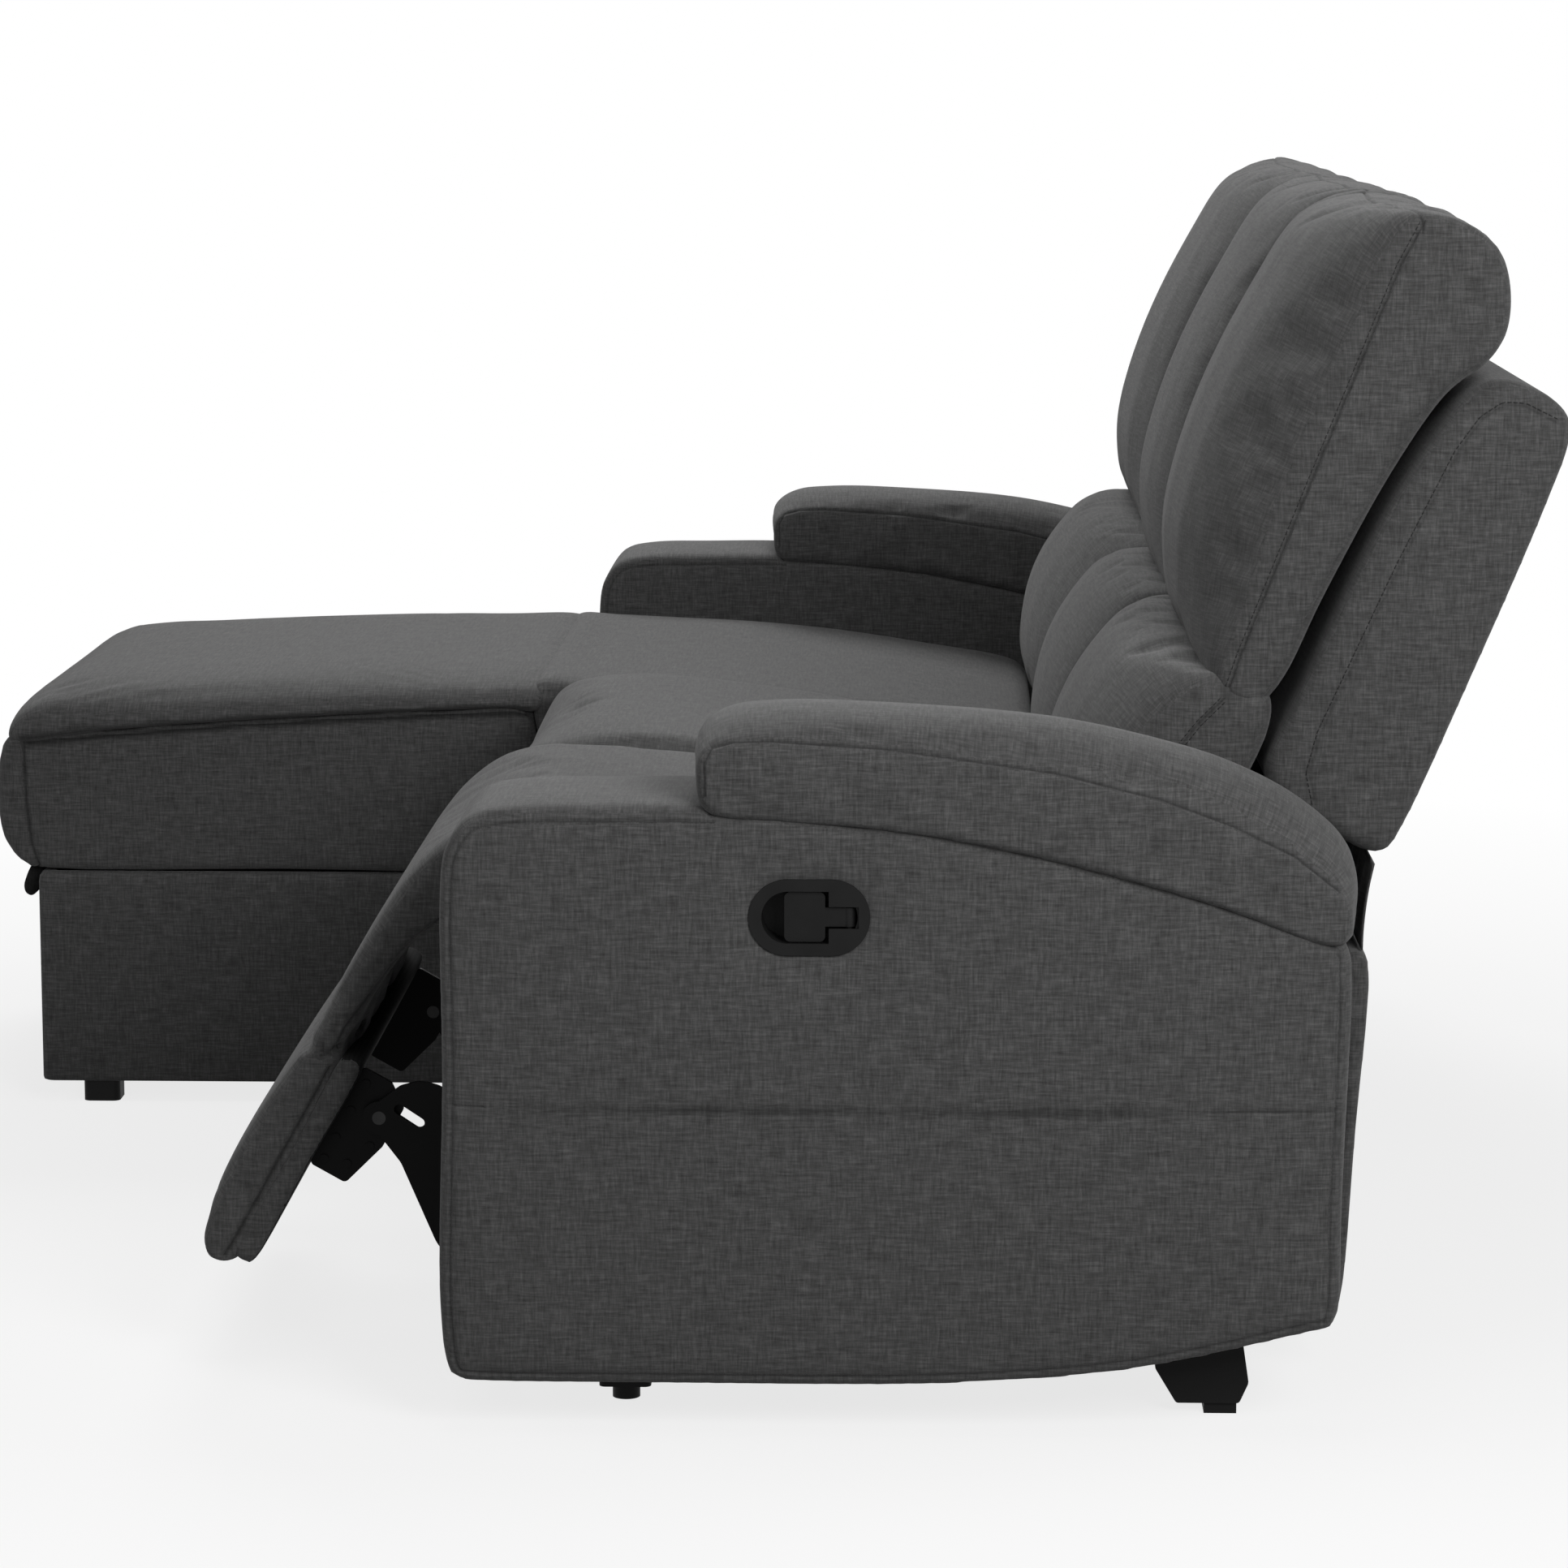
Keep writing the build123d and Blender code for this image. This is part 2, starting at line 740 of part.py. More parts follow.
def link(start, end, x_low, x_high):
    """A flat bar with round ends."""
    bar = prism(strip([start, end], link_width), x_low, x_high)
    return bar + rod(*start, link_width / 2, x_low, x_high) + rod(*end, link_width / 2, x_low, x_high)


def bore(place, x_low, x_high):
    return rod(*place, pin_radius + running_clearance, x_low - 1, x_high + 1)


def beside(place, offsets):
    """Places measured from another one."""
    return [(place[0] + depth, place[1] + height) for depth, height in offsets]


side_plate_rear = bolt_depths[0] - plate_to_bolt
side_plate_points = [
    (link_base[0] - 24, link_base[1] - 24),
    (link_base[0] + 60, base_top - 90),
    (side_plate_rear, base_top - 90),
    (side_plate_rear, base_top - 2),
    (link_base[0] - 24, base_top - 2),
]
recline_plate_points = [
    (recline_pivot[0] - 50, base_top - 88),
    (recline_pivot[0] + 50, base_top - 88),
    (recline_pivot[0] + 20, recline_pivot[1] + 16),
    (recline_pivot[0] - 20, recline_pivot[1] + 16),
]
plates, recline_plates, pins, recline_arms = [], [], [], []
for low, high in layers(*plate_span):
    plates.append(prism(side_plate_points, low, high, 10) - bore(link_base, low, high))
    recline_plates.append(prism(recline_plate_points, low, high, 12) - bore(recline_pivot, low, high))
for low, high in layers(plate_span[0], lower_span[1]):
    pins += [rod(*link_base, pin_radius, low, high), rod(*recline_pivot, pin_radius, low, high)]
for low, high in layers(*lower_span):
    arm_eye = rod(*recline_pivot, recline_arm_width / 2, low, high)
    arm = prism(strip(arm_path, recline_arm_width), low, high) + arm_eye
    recline_arms.append(arm - bore(recline_pivot, low, high))
save("mechanism_plates", *plates)
save("recline_plates", *recline_plates)
save("mechanism_pins", *pins)
save("recline_arms", *recline_arms)

# The upper links are broad curved plates with a slot beside the footrest's pivot.
eye_to_knee = knee[0] - bracket_eye[0], knee[1] - bracket_eye[1]
half_link = link_width / 2
plate_outline = [
    (0, half_link), (19, 29), (37, 34), (55, 29), (79, 9), (101, -28), (117, -83), (121, -133),
    (eye_to_knee[0] + half_link, eye_to_knee[1]), (eye_to_knee[0] - half_link, eye_to_knee[1]),
    (76, -146), (50, -113), (19, -40), (0, -half_link),
]
plate_radii = [0, 12, 25, 20, 40, 60, 60, 60, 0, 0, 30, 40, 25, 0]
slot_ends = beside(bracket_eye, ((18, 8), (36, -4)))


def upper_plate(x_low, x_high):
    points = beside(bracket_eye, plate_outline)[::-1]
    plate = prism(points, x_low, x_high, plate_radii[::-1])
    for place in (bracket_eye, knee):
        plate += rod(*place, half_link, x_low, x_high)
    slot = prism(strip(slot_ends, slot_width), x_low - 1, x_high + 1)
    for place in slot_ends:
        slot += rod(*place, slot_width / 2, x_low - 1, x_high + 1)
    return plate - slot - bore(knee, x_low, x_high) - bore(bracket_eye, x_low, x_high)


lower_links = []
stud_end = upper_span[1] + link_layer_gap / 2
for (low, high), (stud_low, stud_high) in zip(layers(*lower_span), layers(lower_span[0], stud_end)):
    bar = link(link_base, knee, low, high) - bore(link_base, low, high)
    lower_links.append(bar + rod(*knee, pin_radius, stud_low, stud_high))
save("lower_links", *lower_links)
save("upper_links", *[upper_plate(low, high) for low, high in layers(*upper_span)])
save("torque_tube", rod(*knee, torque_tube_radius, middle_end + stud_end, near_inner - stud_end))

# Footrest
footrest_low, footrest_high = middle_end + footrest_margin, near_inner - footrest_margin
board_corners = [
    on_footrest(flap_length, -board_setback),
    on_footrest(board_end, -board_setback),
    on_footrest(board_end, board_face),
    on_footrest(flap_length, board_face),
]
save("footrest_board", prism(board_corners[::-1], footrest_low, footrest_high, 4))
bracket_outline = ((8, 0), (108, 0), (108, 37), (63, 50), (23, 50), (8, 29))
bracket_points = [on_footrest(flap_length + down, -board_setback - back) for down, back in bracket_outline]
brackets, footrest_pins = [], []
rivet_spots = ((20, 10), (48, 10), (76, 10), (98, 10), (92, 30), (68, 40))
rivet_rows = layers(bracket_span[0] - rivet_head, bracket_span[0])
for (low, high), (head_low, head_high) in zip(layers(*bracket_span), rivet_rows):
    bracket = prism(bracket_points, low, high, 5) - bore(bracket_eye, low, high)
    for down, back in rivet_spots:
        place = on_footrest(flap_length + down, -board_setback - back)
        bracket += rod(*place, rivet_radius, head_low, head_high)
    brackets.append(bracket)
for low, high in layers(upper_span[0], bracket_span[1]):
    footrest_pins.append(rod(*bracket_eye, pin_radius, low, high))
save("footrest_brackets", *brackets)
save("footrest_pins", *footrest_pins)

pad_outline = (
    (flap_length - 3, 0.3, 5, 0, 0),
    (flap_length - 5, 24, 12, 0, 5),
    (flap_length + 33, 34, 60, 0, 13),
    (board_end - 60, 34, 100, 0, 13),
    (board_end - 4, 27, 18, 4, 8),
    (board_end + 8, 11, 8, 4, 0),
    (board_end + 3, 0.3, 3, 0, 0),
)
pad_points = []
for down, out, radius, more_down, more_out in pad_outline:
    place = on_footrest(down, board_face + out)
    swell_depth = more_down * footrest_down[0] + more_out * footrest_out[0]
    swell_height = more_down * footrest_down[1] + more_out * footrest_out[1]
    pad_points.append((*place, radius, swell_depth, swell_height))
save("footrest_pad", cushion(pad_points, footrest_low, footrest_high, 4))
flap_points = [
    (fold[0] - 12, fold[1] - 6, 2, 0, 0),
    (fold[0] - 27, fold[1] + 10, 4, 0, 0),
    (*on_footrest(40, 20), 60, -6, 4),
    (*on_footrest(120, 30), 80, -6, 4),
    (*on_footrest(flap_length - 10, 41), 6, -6, 3),
    (*on_footrest(flap_length - 9, 9), 6, 0, 0),
    (*on_footrest(92, -2), 60, 0, 0),
]
save("footrest_flap", cushion(flap_points, footrest_low, footrest_high, 2))

# Chaise bin
chaise_low, chaise_high = far_inner + 2, chaise_end - 2
bin_front = -chaise_front
divider_front = groove_depth + groove_width / 2
inner_low, inner_high = chaise_low + board, chaise_high - board
save(
    "chaise_bin",
    slab(chaise_low, inner_low, bin_front + board, base_front, chaise_bottom, bin_top),
    slab(inner_high, chaise_high, bin_front + board, base_front, chaise_bottom, bin_top),
    slab(chaise_low, chaise_high, bin_front, bin_front + board, chaise_bottom, bin_top),
    slab(inner_low, inner_high, divider_front, divider_front + board, chaise_bottom, base_top),
    slab(
        inner_low, inner_high, bin_front + board, divider_front,
        bin_floor_height, bin_floor_height + bin_floor_thickness,
    ),
)
save("chaise_deck", slab(chaise_low, chaise_high, divider_front, seat_depth, base_top, cushion_bottom))

# Chaise lid
lid_low = bin_top + lid_shut_gap
lid_board_top = lid_low + lid_board_thickness
lid_rear = groove_depth - groove_width / 2
lid_front = bin_front - 2
border_depth = lid_front + board
save("lid_board", slab(chaise_low, chaise_high, lid_front, lid_rear, lid_low, lid_board_top))
front_border = cushion(
    [
        (border_depth, lid_board_top, 2, 0, 0),
        (border_depth, lid_border_top, 2, 0, 0),
        (lid_front - 14, lid_border_top - 2, 10, -22, 0),
        (lid_front - 12, lid_board_top + 59, 60, -lid_front_bulge - lid_front + 12, 0),
        (lid_front - 2, lid_board_top, 6, -10, 0),
    ],
    chaise_low, chaise_high, 1,
)
save(
    "lid_border",
    front_border,
    slab(chaise_low, inner_low, border_depth, lid_rear, lid_board_top, lid_border_top),
    slab(inner_high, chaise_high, border_depth, lid_rear, lid_board_top, lid_border_top),
    slab(inner_low, inner_high, lid_rear - board, lid_rear, lid_board_top, lid_border_top),
)
save("lid_core", slab(inner_low, inner_high, border_depth, lid_rear - board, lid_board_top, lid_border_top))
lid_seam = lid_border_top + frame_gap
save("lid_cushion", cushion(
    [
        (lid_rear, lid_seam, 3, 0, 0),
        (lid_rear, hinge_height - 16, 6, 0, 10),
        (lid_rear - 24, hinge_height, 20, 0, 26),
        (-180, hinge_height - 2, 250, 0, 34),
        (-340, hinge_height - 6, 250, 0, 34),
        (-500, hinge_height - 12, 120, 0, 30),
        (lid_front - 12, lid_seam + 16, 4, -22, 10),
        (lid_front - 4, lid_seam, 2, -12, 0),
    ],
    chaise_low, chaise_high, 2,
))
tab_low, tab_high = inner_high - 60, inner_high - 10
tab_strap = slab(tab_low, tab_high, lid_front - 12, lid_front - 1, lid_low - 32, lid_low + 4)
tab_root = slab(tab_low, tab_high, lid_front - 2, lid_front, lid_low, lid_board_top)
save("lid_pull_tab", tab_strap + tab_root)

# Piano hinge of the lid, in the groove
hinge_low, hinge_high = chaise_low + hinge_end_margin, chaise_high - hinge_end_margin
knuckle_length = (hinge_high - hinge_low) / hinge_knuckles
leaf_top = hinge_height - hinge_knuckle_radius - 2


def hinge_leaf_piece(side, first):
    """A leaf on one side of the groove with every other knuckle, the first one or the second."""
    outer = groove_depth + side * groove_width / 2
    low, high = sorted((outer, outer - side * hinge_leaf))
    piece = slab(hinge_low, hinge_high, low, high, base_top, leaf_top)
    for index in range(first, hinge_knuckles, 2):
        x_low = hinge_low + index * knuckle_length + hinge_knuckle_gap
        x_high = hinge_low + (index + 1) * knuckle_length - hinge_knuckle_gap
        piece += slab(x_low, x_high, low, high, leaf_top - 1, hinge_height)
        piece += rod(groove_depth, hinge_height, hinge_knuckle_radius, x_low, x_high)
    return piece


hinge_pin = rod(groove_depth, hinge_height, hinge_pin_radius, hinge_low, hinge_high)
pin_room_radius = hinge_pin_radius + running_clearance
pin_room = rod(groove_depth, hinge_height, pin_room_radius, hinge_low - 1, hinge_high + 1)
save("lid_hinge_base", hinge_leaf_piece(1, 0) + hinge_pin)
save("lid_hinge_leaf", hinge_leaf_piece(-1, 1) - pin_room)


# Feet
def block_foot(x, depth):
    half = foot_size / 2
    post = slab(x - half, x + half, depth - half, depth + half, foot_pad_height, foot_height)
    post = fillet(post.edges().filter_by(Axis.Z), 6)
    return post + upright(x, depth, foot_pad_radius, 0, foot_pad_height)


def rear_foot(x):
    front = arm_depth - rear_foot_reach
    rear = front + 76
    top_front, top_rear = (front, arm_bottom_at(front)), (rear, arm_bottom_at(rear))
    points = [(front + 22, 10), (rear, 10), (rear + 8, 28), top_rear, top_front, (front + 4, 40)]
    low, high = x - rear_foot_width / 2, x + rear_foot_width / 2
    sole = slab(low + 4, high - 4, rear - 30, rear - 2, 0, 11)
    return prism(points, low, high, [4, 4, 8, 0, 0, 6]) + sole


def chaise_foot(x, depth):
    half = chaise_foot_size / 2
    return fillet(
        slab(x - half, x + half, depth - half, depth + half, 0, chaise_bottom).edges().filter_by(Axis.Z), 8,
    )


middle_foot_inset = foot_size / 2 + board / 2
block_spots = [
    (near_outer - front_foot_inset, front_foot_depth),
    (far_outer + front_foot_inset, front_foot_depth),
]
for x in (middle_end - middle_foot_inset, chaise_end + middle_foot_inset):
    block_spots += [(x, front_foot_depth), (x, base_rear - foot_size)]
save("block_feet", *[block_foot(x, depth) for x, depth in block_spots])
save("rear_feet", rear_foot(near_outer - rear_foot_inset), rear_foot(far_outer + rear_foot_inset))
chaise_foot_xs = chaise_high - chaise_foot_size / 2 - 4, chaise_low + chaise_foot_size / 2 + 4
chaise_spots = [(x, depth) for x in chaise_foot_xs for depth in (chaise_foot_depth, chaise_rear_foot_depth)]
save("chaise_feet", *[chaise_foot(x, depth) for x, depth in chaise_spots])

# The origin is on the floor under the middle of the sofa's box
box = Compound(list(sofa.values())).bounding_box()
middle_depth = (box.min.Y + box.max.Y) / 2
for name, piece in sofa.items():
    export_step(piece.moved(Location((0, -middle_depth, 0))), f"parts/{name}.step")
print("middle depth", middle_depth, "front", box.min.Y, "rear", box.max.Y)
print("height", box.max.Z, "low", box.min.Z)
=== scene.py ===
import json
import math

import bmesh
import bpy
import numpy as np
from mathutils import Matrix, Vector
from mathutils.bvhtree import BVHTree


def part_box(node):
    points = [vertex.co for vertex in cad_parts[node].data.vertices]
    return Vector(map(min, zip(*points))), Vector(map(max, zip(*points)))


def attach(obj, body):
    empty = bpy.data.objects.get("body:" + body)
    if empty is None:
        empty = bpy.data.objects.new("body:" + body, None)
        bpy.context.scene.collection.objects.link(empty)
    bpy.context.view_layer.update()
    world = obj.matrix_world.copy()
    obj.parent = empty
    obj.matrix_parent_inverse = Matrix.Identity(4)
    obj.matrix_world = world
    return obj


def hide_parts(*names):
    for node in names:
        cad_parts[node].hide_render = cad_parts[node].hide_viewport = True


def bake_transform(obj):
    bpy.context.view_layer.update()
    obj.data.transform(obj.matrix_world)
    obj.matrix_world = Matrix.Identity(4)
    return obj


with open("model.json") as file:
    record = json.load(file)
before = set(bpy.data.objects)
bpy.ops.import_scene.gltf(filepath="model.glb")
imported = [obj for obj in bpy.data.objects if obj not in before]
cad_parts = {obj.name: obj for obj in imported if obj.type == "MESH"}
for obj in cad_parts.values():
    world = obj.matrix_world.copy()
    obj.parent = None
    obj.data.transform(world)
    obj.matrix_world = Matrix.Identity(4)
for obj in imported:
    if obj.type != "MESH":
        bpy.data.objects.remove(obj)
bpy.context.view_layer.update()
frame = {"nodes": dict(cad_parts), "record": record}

# Sizes below are in millimetres: along the sofa, behind the front of the arms, and above the floor.
MM = 0.001
front_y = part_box("near_arm_cover")[0].y
near_outer, near_inner = 1070, 880
middle_end, chaise_end = 340, -200
far_inner, far_outer = -880, -1070


def place(x, depth, height):
    return Vector((x * MM, front_y + depth * MM, height * MM))


def measured(points):
    """Points of the frame in millimetres of the sofa."""
    return (points - np.array((0, front_y, 0))) / MM


# Camera, at the photograph's viewing point
camera = bpy.data.objects.new("camera", bpy.data.cameras.new("camera"))
bpy.context.scene.collection.objects.link(camera)
camera.location = (5.024, 0.2421, 1.1753)
camera.rotation_euler = Vector((-0.98759, -0.03053, -0.15408)).to_track_quat("-Z", "Y").to_euler()
camera.data.sensor_width = 36
camera.data.lens = 111.2
bpy.context.scene.camera = camera
bpy.context.scene.view_settings.view_transform = "Standard"


class Socket:
    """An output of a shader node. Sums on it add Math nodes."""

    def __init__(self, tree, output=None):
        self.tree, self.output = tree, output

    def add(self, kind, settings=None, sockets=None, out=0):
        """Adds a node: its settings first, then the values or links of its sockets."""
        node = self.tree.nodes.new("ShaderNode" + kind)
        for key, value in (settings or {}).items():
            if key == "stops":
                first, *rest, last = value
                node.color_ramp.elements[0].position, node.color_ramp.elements[0].color = first
                node.color_ramp.elements[1].position, node.color_ramp.elements[1].color = last
                for position, colour in rest:
                    node.color_ramp.elements.new(position).color = colour
            else:
                setattr(node, key, value)
        for key, value in (sockets or {}).items():
            if isinstance(value, Socket):
                self.tree.links.new(value.output, node.inputs[key])
            else:
                node.inputs[key].default_value = value
        return Socket(self.tree, node.outputs[out] if node.outputs else None)

    def sum(self, operation, first, second):
        return self.add("Math", {"operation": operation}, {0: first, 1: second})

    def __add__(self, other):
        return self.sum("ADD", self, other)

    __radd__ = __add__

    def __sub__(self, other):
        return self.sum("SUBTRACT", self, other)

    def __rsub__(self, other):
        return self.sum("SUBTRACT", other, self)

    def __mul__(self, other):
        return self.sum("MULTIPLY", self, other)

    __rmul__ = __mul__


def finish_of(name):
    """A new material and the start of its node tree."""
    material = bpy.data.materials.new(name)
    material.use_nodes = True
    material.node_tree.nodes.clear()
    return material, Socket(material.node_tree)


def surface(root, sockets):
    shader = root.add("BsdfPrincipled", None, sockets)
    root.add("OutputMaterial", None, {"Surface": shader})


def grey(value, warm=0.0):
    return (value * (1 + warm), value, value * (1 - warm), 1)


def noise_at(root, vector, scale, detail=2.0, roughness=0.5):
    sockets = {"Vector": vector, "Scale": scale, "Detail": detail, "Roughness": roughness}
    return root.add("TexNoise", None, sockets)


def stretched(root, vector, across, along):
    """The same coordinates, drawn out along one direction so that spots become threads."""
    return root.add("Mapping", None, {"Vector": vector, "Scale": (across, along, 1)})


def linen(name, dark, middle, light):
    """Heathered linen weave: slubby threads both ways, paler fibres here and there, and a soft mottle. Along
    seams the colour is darkened by painted shade, from a per-point weight that sew stores.
    """
    material, root = finish_of(name)
    cloth = root.add("UVMap", {"uv_map": "weave"})
    weft = noise_at(root, stretched(root, cloth, 90, 700), 1, 3, 0.6)
    warp = noise_at(root, stretched(root, cloth, 700, 90), 1, 3, 0.6)
    slub = noise_at(root, stretched(root, cloth, 34, 380), 1, 2)
    streak = noise_at(root, stretched(root, cloth, 380, 34), 1, 2)
    mottle = noise_at(root, cloth, 55, 3, 0.6)
    thread_pitch = {"Vector": cloth, "Scale": 340, "Distortion": 0.6}
    across = root.add("TexWave", {"bands_direction": "X"}, thread_pitch, 1)
    along = root.add("TexWave", {"bands_direction": "Y"}, thread_pitch, 1)
    weave = across * along + (1 - across) * (1 - along)
    threads = weft * weave + warp * (1 - weave)
    tone = 0.46 * threads + 0.24 * slub + 0.21 * streak + 0.09 * mottle
    stops = [(0.38, dark), (0.5, middle), (0.63, light)]
    cloth_colour = root.add("ValToRGB", {"stops": stops}, {"Fac": tone})
    # Painted shade: a per-point weight set along seams and grooves darkens the cloth colour there, standing
    # in for the shade that falls into them.
    tucked = root.add("Attribute", {"attribute_name": "tucked"}, None, 2)
    seam_shade_mix = {"Factor": tucked, 6: cloth_colour, 7: grey(0.3)}
    colour = root.add("Mix", {"data_type": "RGBA", "blend_type": "MULTIPLY"}, seam_shade_mix, 2)
    height = threads * 0.6 + weave * 0.4 + slub * 0.3
    bump = root.add("Bump", None, {"Height": height, "Strength": 0.35, "Distance": 0.0006})
    surface(root, {"Base Color": colour, "Roughness": 0.92, "Specular IOR Level": 0.2, "Normal": bump,
                   "Sheen Weight": 0.12, "Sheen Roughness": 0.5})
    return material


def moulded(name, shade, rough):
    """Moulded black plastic with a fine grain."""
    material, root = finish_of(name)
    here = root.add("TexCoord", None, None, 3)
    grain = noise_at(root, here, 900, 2)
    cloud = noise_at(root, here, 30, 3)
    stops = [(0.3, grey(shade * 0.8)), (0.7, grey(shade * 1.25))]
    colour = root.add("ValToRGB", {"stops": stops}, {"Fac": cloud})
    bump = root.add("Bump", None, {"Height": grain, "Strength": 0.2, "Distance": 0.0003})
    surface(root, {"Base Color": colour, "Roughness": rough + 0.12 * cloud, "Specular IOR Level": 0.12,
                   "Normal": bump})
    return material


def painted(name, shade, rough, metal):
    """Painted or plated steel, faintly uneven, with dull patches."""
    material, root = finish_of(name)
    here = root.add("TexCoord", None, None, 3)
    cloud = noise_at(root, here, 22, 4)
    peel = noise_at(root, here, 420, 2)
    stops = [(0.3, grey(shade * 0.75)), (0.7, grey(shade * 1.3))]
    colour = root.add("ValToRGB", {"stops": stops}, {"Fac": cloud})
    bump = root.add("Bump", None, {"Height": peel, "Strength": 0.15, "Distance": 0.0002})
    surface(root, {"Base Color": colour, "Roughness": rough + 0.2 * cloud, "Metallic": metal, "Normal": bump,
                   "Specular IOR Level": 0.06})
    return material


def timber(name):
    """Raw board with its grain along the sofa."""
    material, root = finish_of(name)
    here = root.add("TexCoord", None, None, 3)
    long_grain = root.add("Mapping", None, {"Vector": here, "Scale": (4, 60, 60)})
    grain = noise_at(root, long_grain, 1, 5, 0.65)
    stops = [(0.3, (0.42, 0.29, 0.16, 1)), (0.55, (0.58, 0.43, 0.27, 1)), (0.75, (0.68, 0.54, 0.36, 1))]
    colour = root.add("ValToRGB", {"stops": stops}, {"Fac": grain})
    bump = root.add("Bump", None, {"Height": grain, "Strength": 0.2, "Distance": 0.0006})
    surface(root, {"Base Color": colour, "Roughness": 0.7 + 0.15 * grain, "Normal": bump})
    return material


def ribbed(name, shade, ribs):
    """Woven strap or felt lining with a close rib."""
    material, root = finish_of(name)
    here = root.add("TexCoord", None, None, 3)
    rib = root.add("TexWave", {"bands_direction": "Y"}, {"Vector": here, "Scale": ribs}, 1)
    fleck = noise_at(root, here, 260, 3)
    tone = rib * 0.3 + fleck * 0.7
    stops = [(0.25, grey(shade * 0.6)), (0.75, grey(shade * 1.5))]
    colour = root.add("ValToRGB", {"stops": stops}, {"Fac": tone})
    bump = root.add("Bump", None, {"Height": tone, "Strength": 0.3, "Distance": 0.0006})
    surface(root, {"Base Color": colour, "Roughness": 0.9, "Specular IOR Level": 0.08, "Normal": bump})
    return material


def sponge(name):
    """Open-celled seat foam."""
    material, root = finish_of(name)
    here = root.add("TexCoord", None, None, 3)
    cells = noise_at(root, here, 500, 4, 0.7)
    stops = [(0.35, (0.55, 0.5, 0.36, 1)), (0.65, (0.75, 0.7, 0.55, 1))]
    colour = root.add("ValToRGB", {"stops": stops}, {"Fac": cells})
    bump = root.add("Bump", None, {"Height": cells, "Strength": 0.4, "Distance": 0.001})
    surface(root, {"Base Color": colour, "Roughness": 0.95, "Normal": bump})
    return material


charcoal = linen("charcoal_linen", grey(0.034, 0.01), grey(0.066, 0.005), grey(0.118, 0.005))
thread = linen("charcoal_thread", grey(0.018), grey(0.026), grey(0.04))
cup_black = moulded("cup_black", 0.0075, 0.42)
foot_black = moulded("foot_black", 0.006, 0.5)
link_black = painted("link_black", 0.005, 0.4, 0.0)
dark_zinc = painted("dark_zinc", 0.03, 0.35, 0.9)
raw_board = timber("raw_board")
strap_black = ribbed("strap_black", 0.016, 250)
lining_black = ribbed("lining_black", 0.014, 90)
seat_foam = sponge("seat_foam")

slot_finish = {
    "frame_wood": raw_board,
    "foam": seat_foam,
    "webbing": strap_black,
    "black_steel": link_black,
    "pin_steel": dark_zinc,
    "black_plastic": foot_black,
    "upholstery": lining_black,
}
for part in frame["record"]["subparts"]:
    node = frame["nodes"][part["node"]]
    node.data.materials.clear()
    node.data.materials.append(slot_finish[part["material_slot"]])
for name in ("lever_cup", "lever_paddle", "lever_pin"):
    frame["nodes"][name].data.materials[0] = cup_black
for name in ("near_base", "middle_base", "chaise_base", "chaise_deck"):
    frame["nodes"][name].data.materials[0] = lining_black


# Shaping
def curve_through(points, steps):
    """A smooth closed line through the points, whose first two numbers are its place."""
    p = np.array(points, float)
    a, b, c = np.roll(p, 1, 0), np.roll(p, -1, 0), np.roll(p, -2, 0)
    gap = [np.linalg.norm((q - r)[:, :2], axis=1)[:, None] ** 0.5 for q, r in ((p, a), (b, p), (c, b))]
    out = (p - a) / gap[0] - (b - a) / (gap[0] + gap[1]) + (b - p) / gap[1]
    into = (b - p) / gap[1] - (c - p) / (gap[1] + gap[2]) + (c - b) / gap[2]
    rows = []
    for t in np.linspace(0, 1, steps, endpoint=False):
        rows.append(
            p * (2 * t**3 - 3 * t**2 + 1) + b * (3 * t**2 - 2 * t**3)
            + gap[1] * (out * (t**3 - 2 * t**2 + t) + into * (t**3 - t**2))
        )
    return np.stack(rows, 1).reshape(-1, p.shape[1])


def drawn_in(ring, distance):
    """The ring moved inwards by a distance."""
    ahead, behind = np.roll(ring, -1, 0), np.roll(ring, 1, 0)
    turn = np.sign(np.sum(ring[:, 0] * ahead[:, 1] - ahead[:, 0] * ring[:, 1]))
    run = ahead - behind
    run /= np.linalg.norm(run, axis=1)[:, None] + 1e-9
    return ring + turn * distance * np.stack((-run[:, 1], run[:, 0]), 1)


def skin(rings):
    """Skins a row of closed rings and closes both ends."""
    shape = bmesh.new()
    loops = []
    for ring in rings:
        corners = [shape.verts.new(point) for point in ring]
        loops.append([shape.edges.new(pair) for pair in zip(corners, corners[1:] + corners[:1])])
    for one, next_one in zip(loops, loops[1:]):
        bmesh.ops.bridge_loops(shape, edges=one + next_one)
    for loop in (loops[0], loops[-1]):
        bmesh.ops.contextual_create(shape, geom=loop)
    bmesh.ops.recalc_face_normals(shape, faces=shape.faces)
    return shape


def stuffed(outline, x_low, x_high, stations, steps=6):
    """A stuffed form: its outline, swollen by each station's fullness and drawn in at the ends."""
    line = curve_through(outline, steps)
    rings = []
    for share, fullness, draw in stations:
        ring = drawn_in(line[:, :2] + fullness * line[:, 2:4], draw)
        x = x_low + share * (x_high - x_low)
        rings.append([place(x, depth, height) for depth, height in ring])
    return skin(rings)


def piece_of(name, shape, finish=None):
    mesh = bpy.data.meshes.new(name)
    shape.to_mesh(mesh)
    shape.free()
    piece = bpy.data.objects.new(name, mesh)
    bpy.context.scene.collection.objects.link(piece)
    if finish:
        mesh.materials.append(finish)
    return piece


def settle(piece):
    """Makes the piece's modifiers part of its mesh."""
    bpy.context.view_layer.update()
    seen = piece.evaluated_get(bpy.context.evaluated_depsgraph_get())
    made = bpy.data.meshes.new_from_object(seen)
    piece.modifiers.clear()
    old, piece.data = piece.data, made
    bpy.data.meshes.remove(old)
    made.name = piece.name


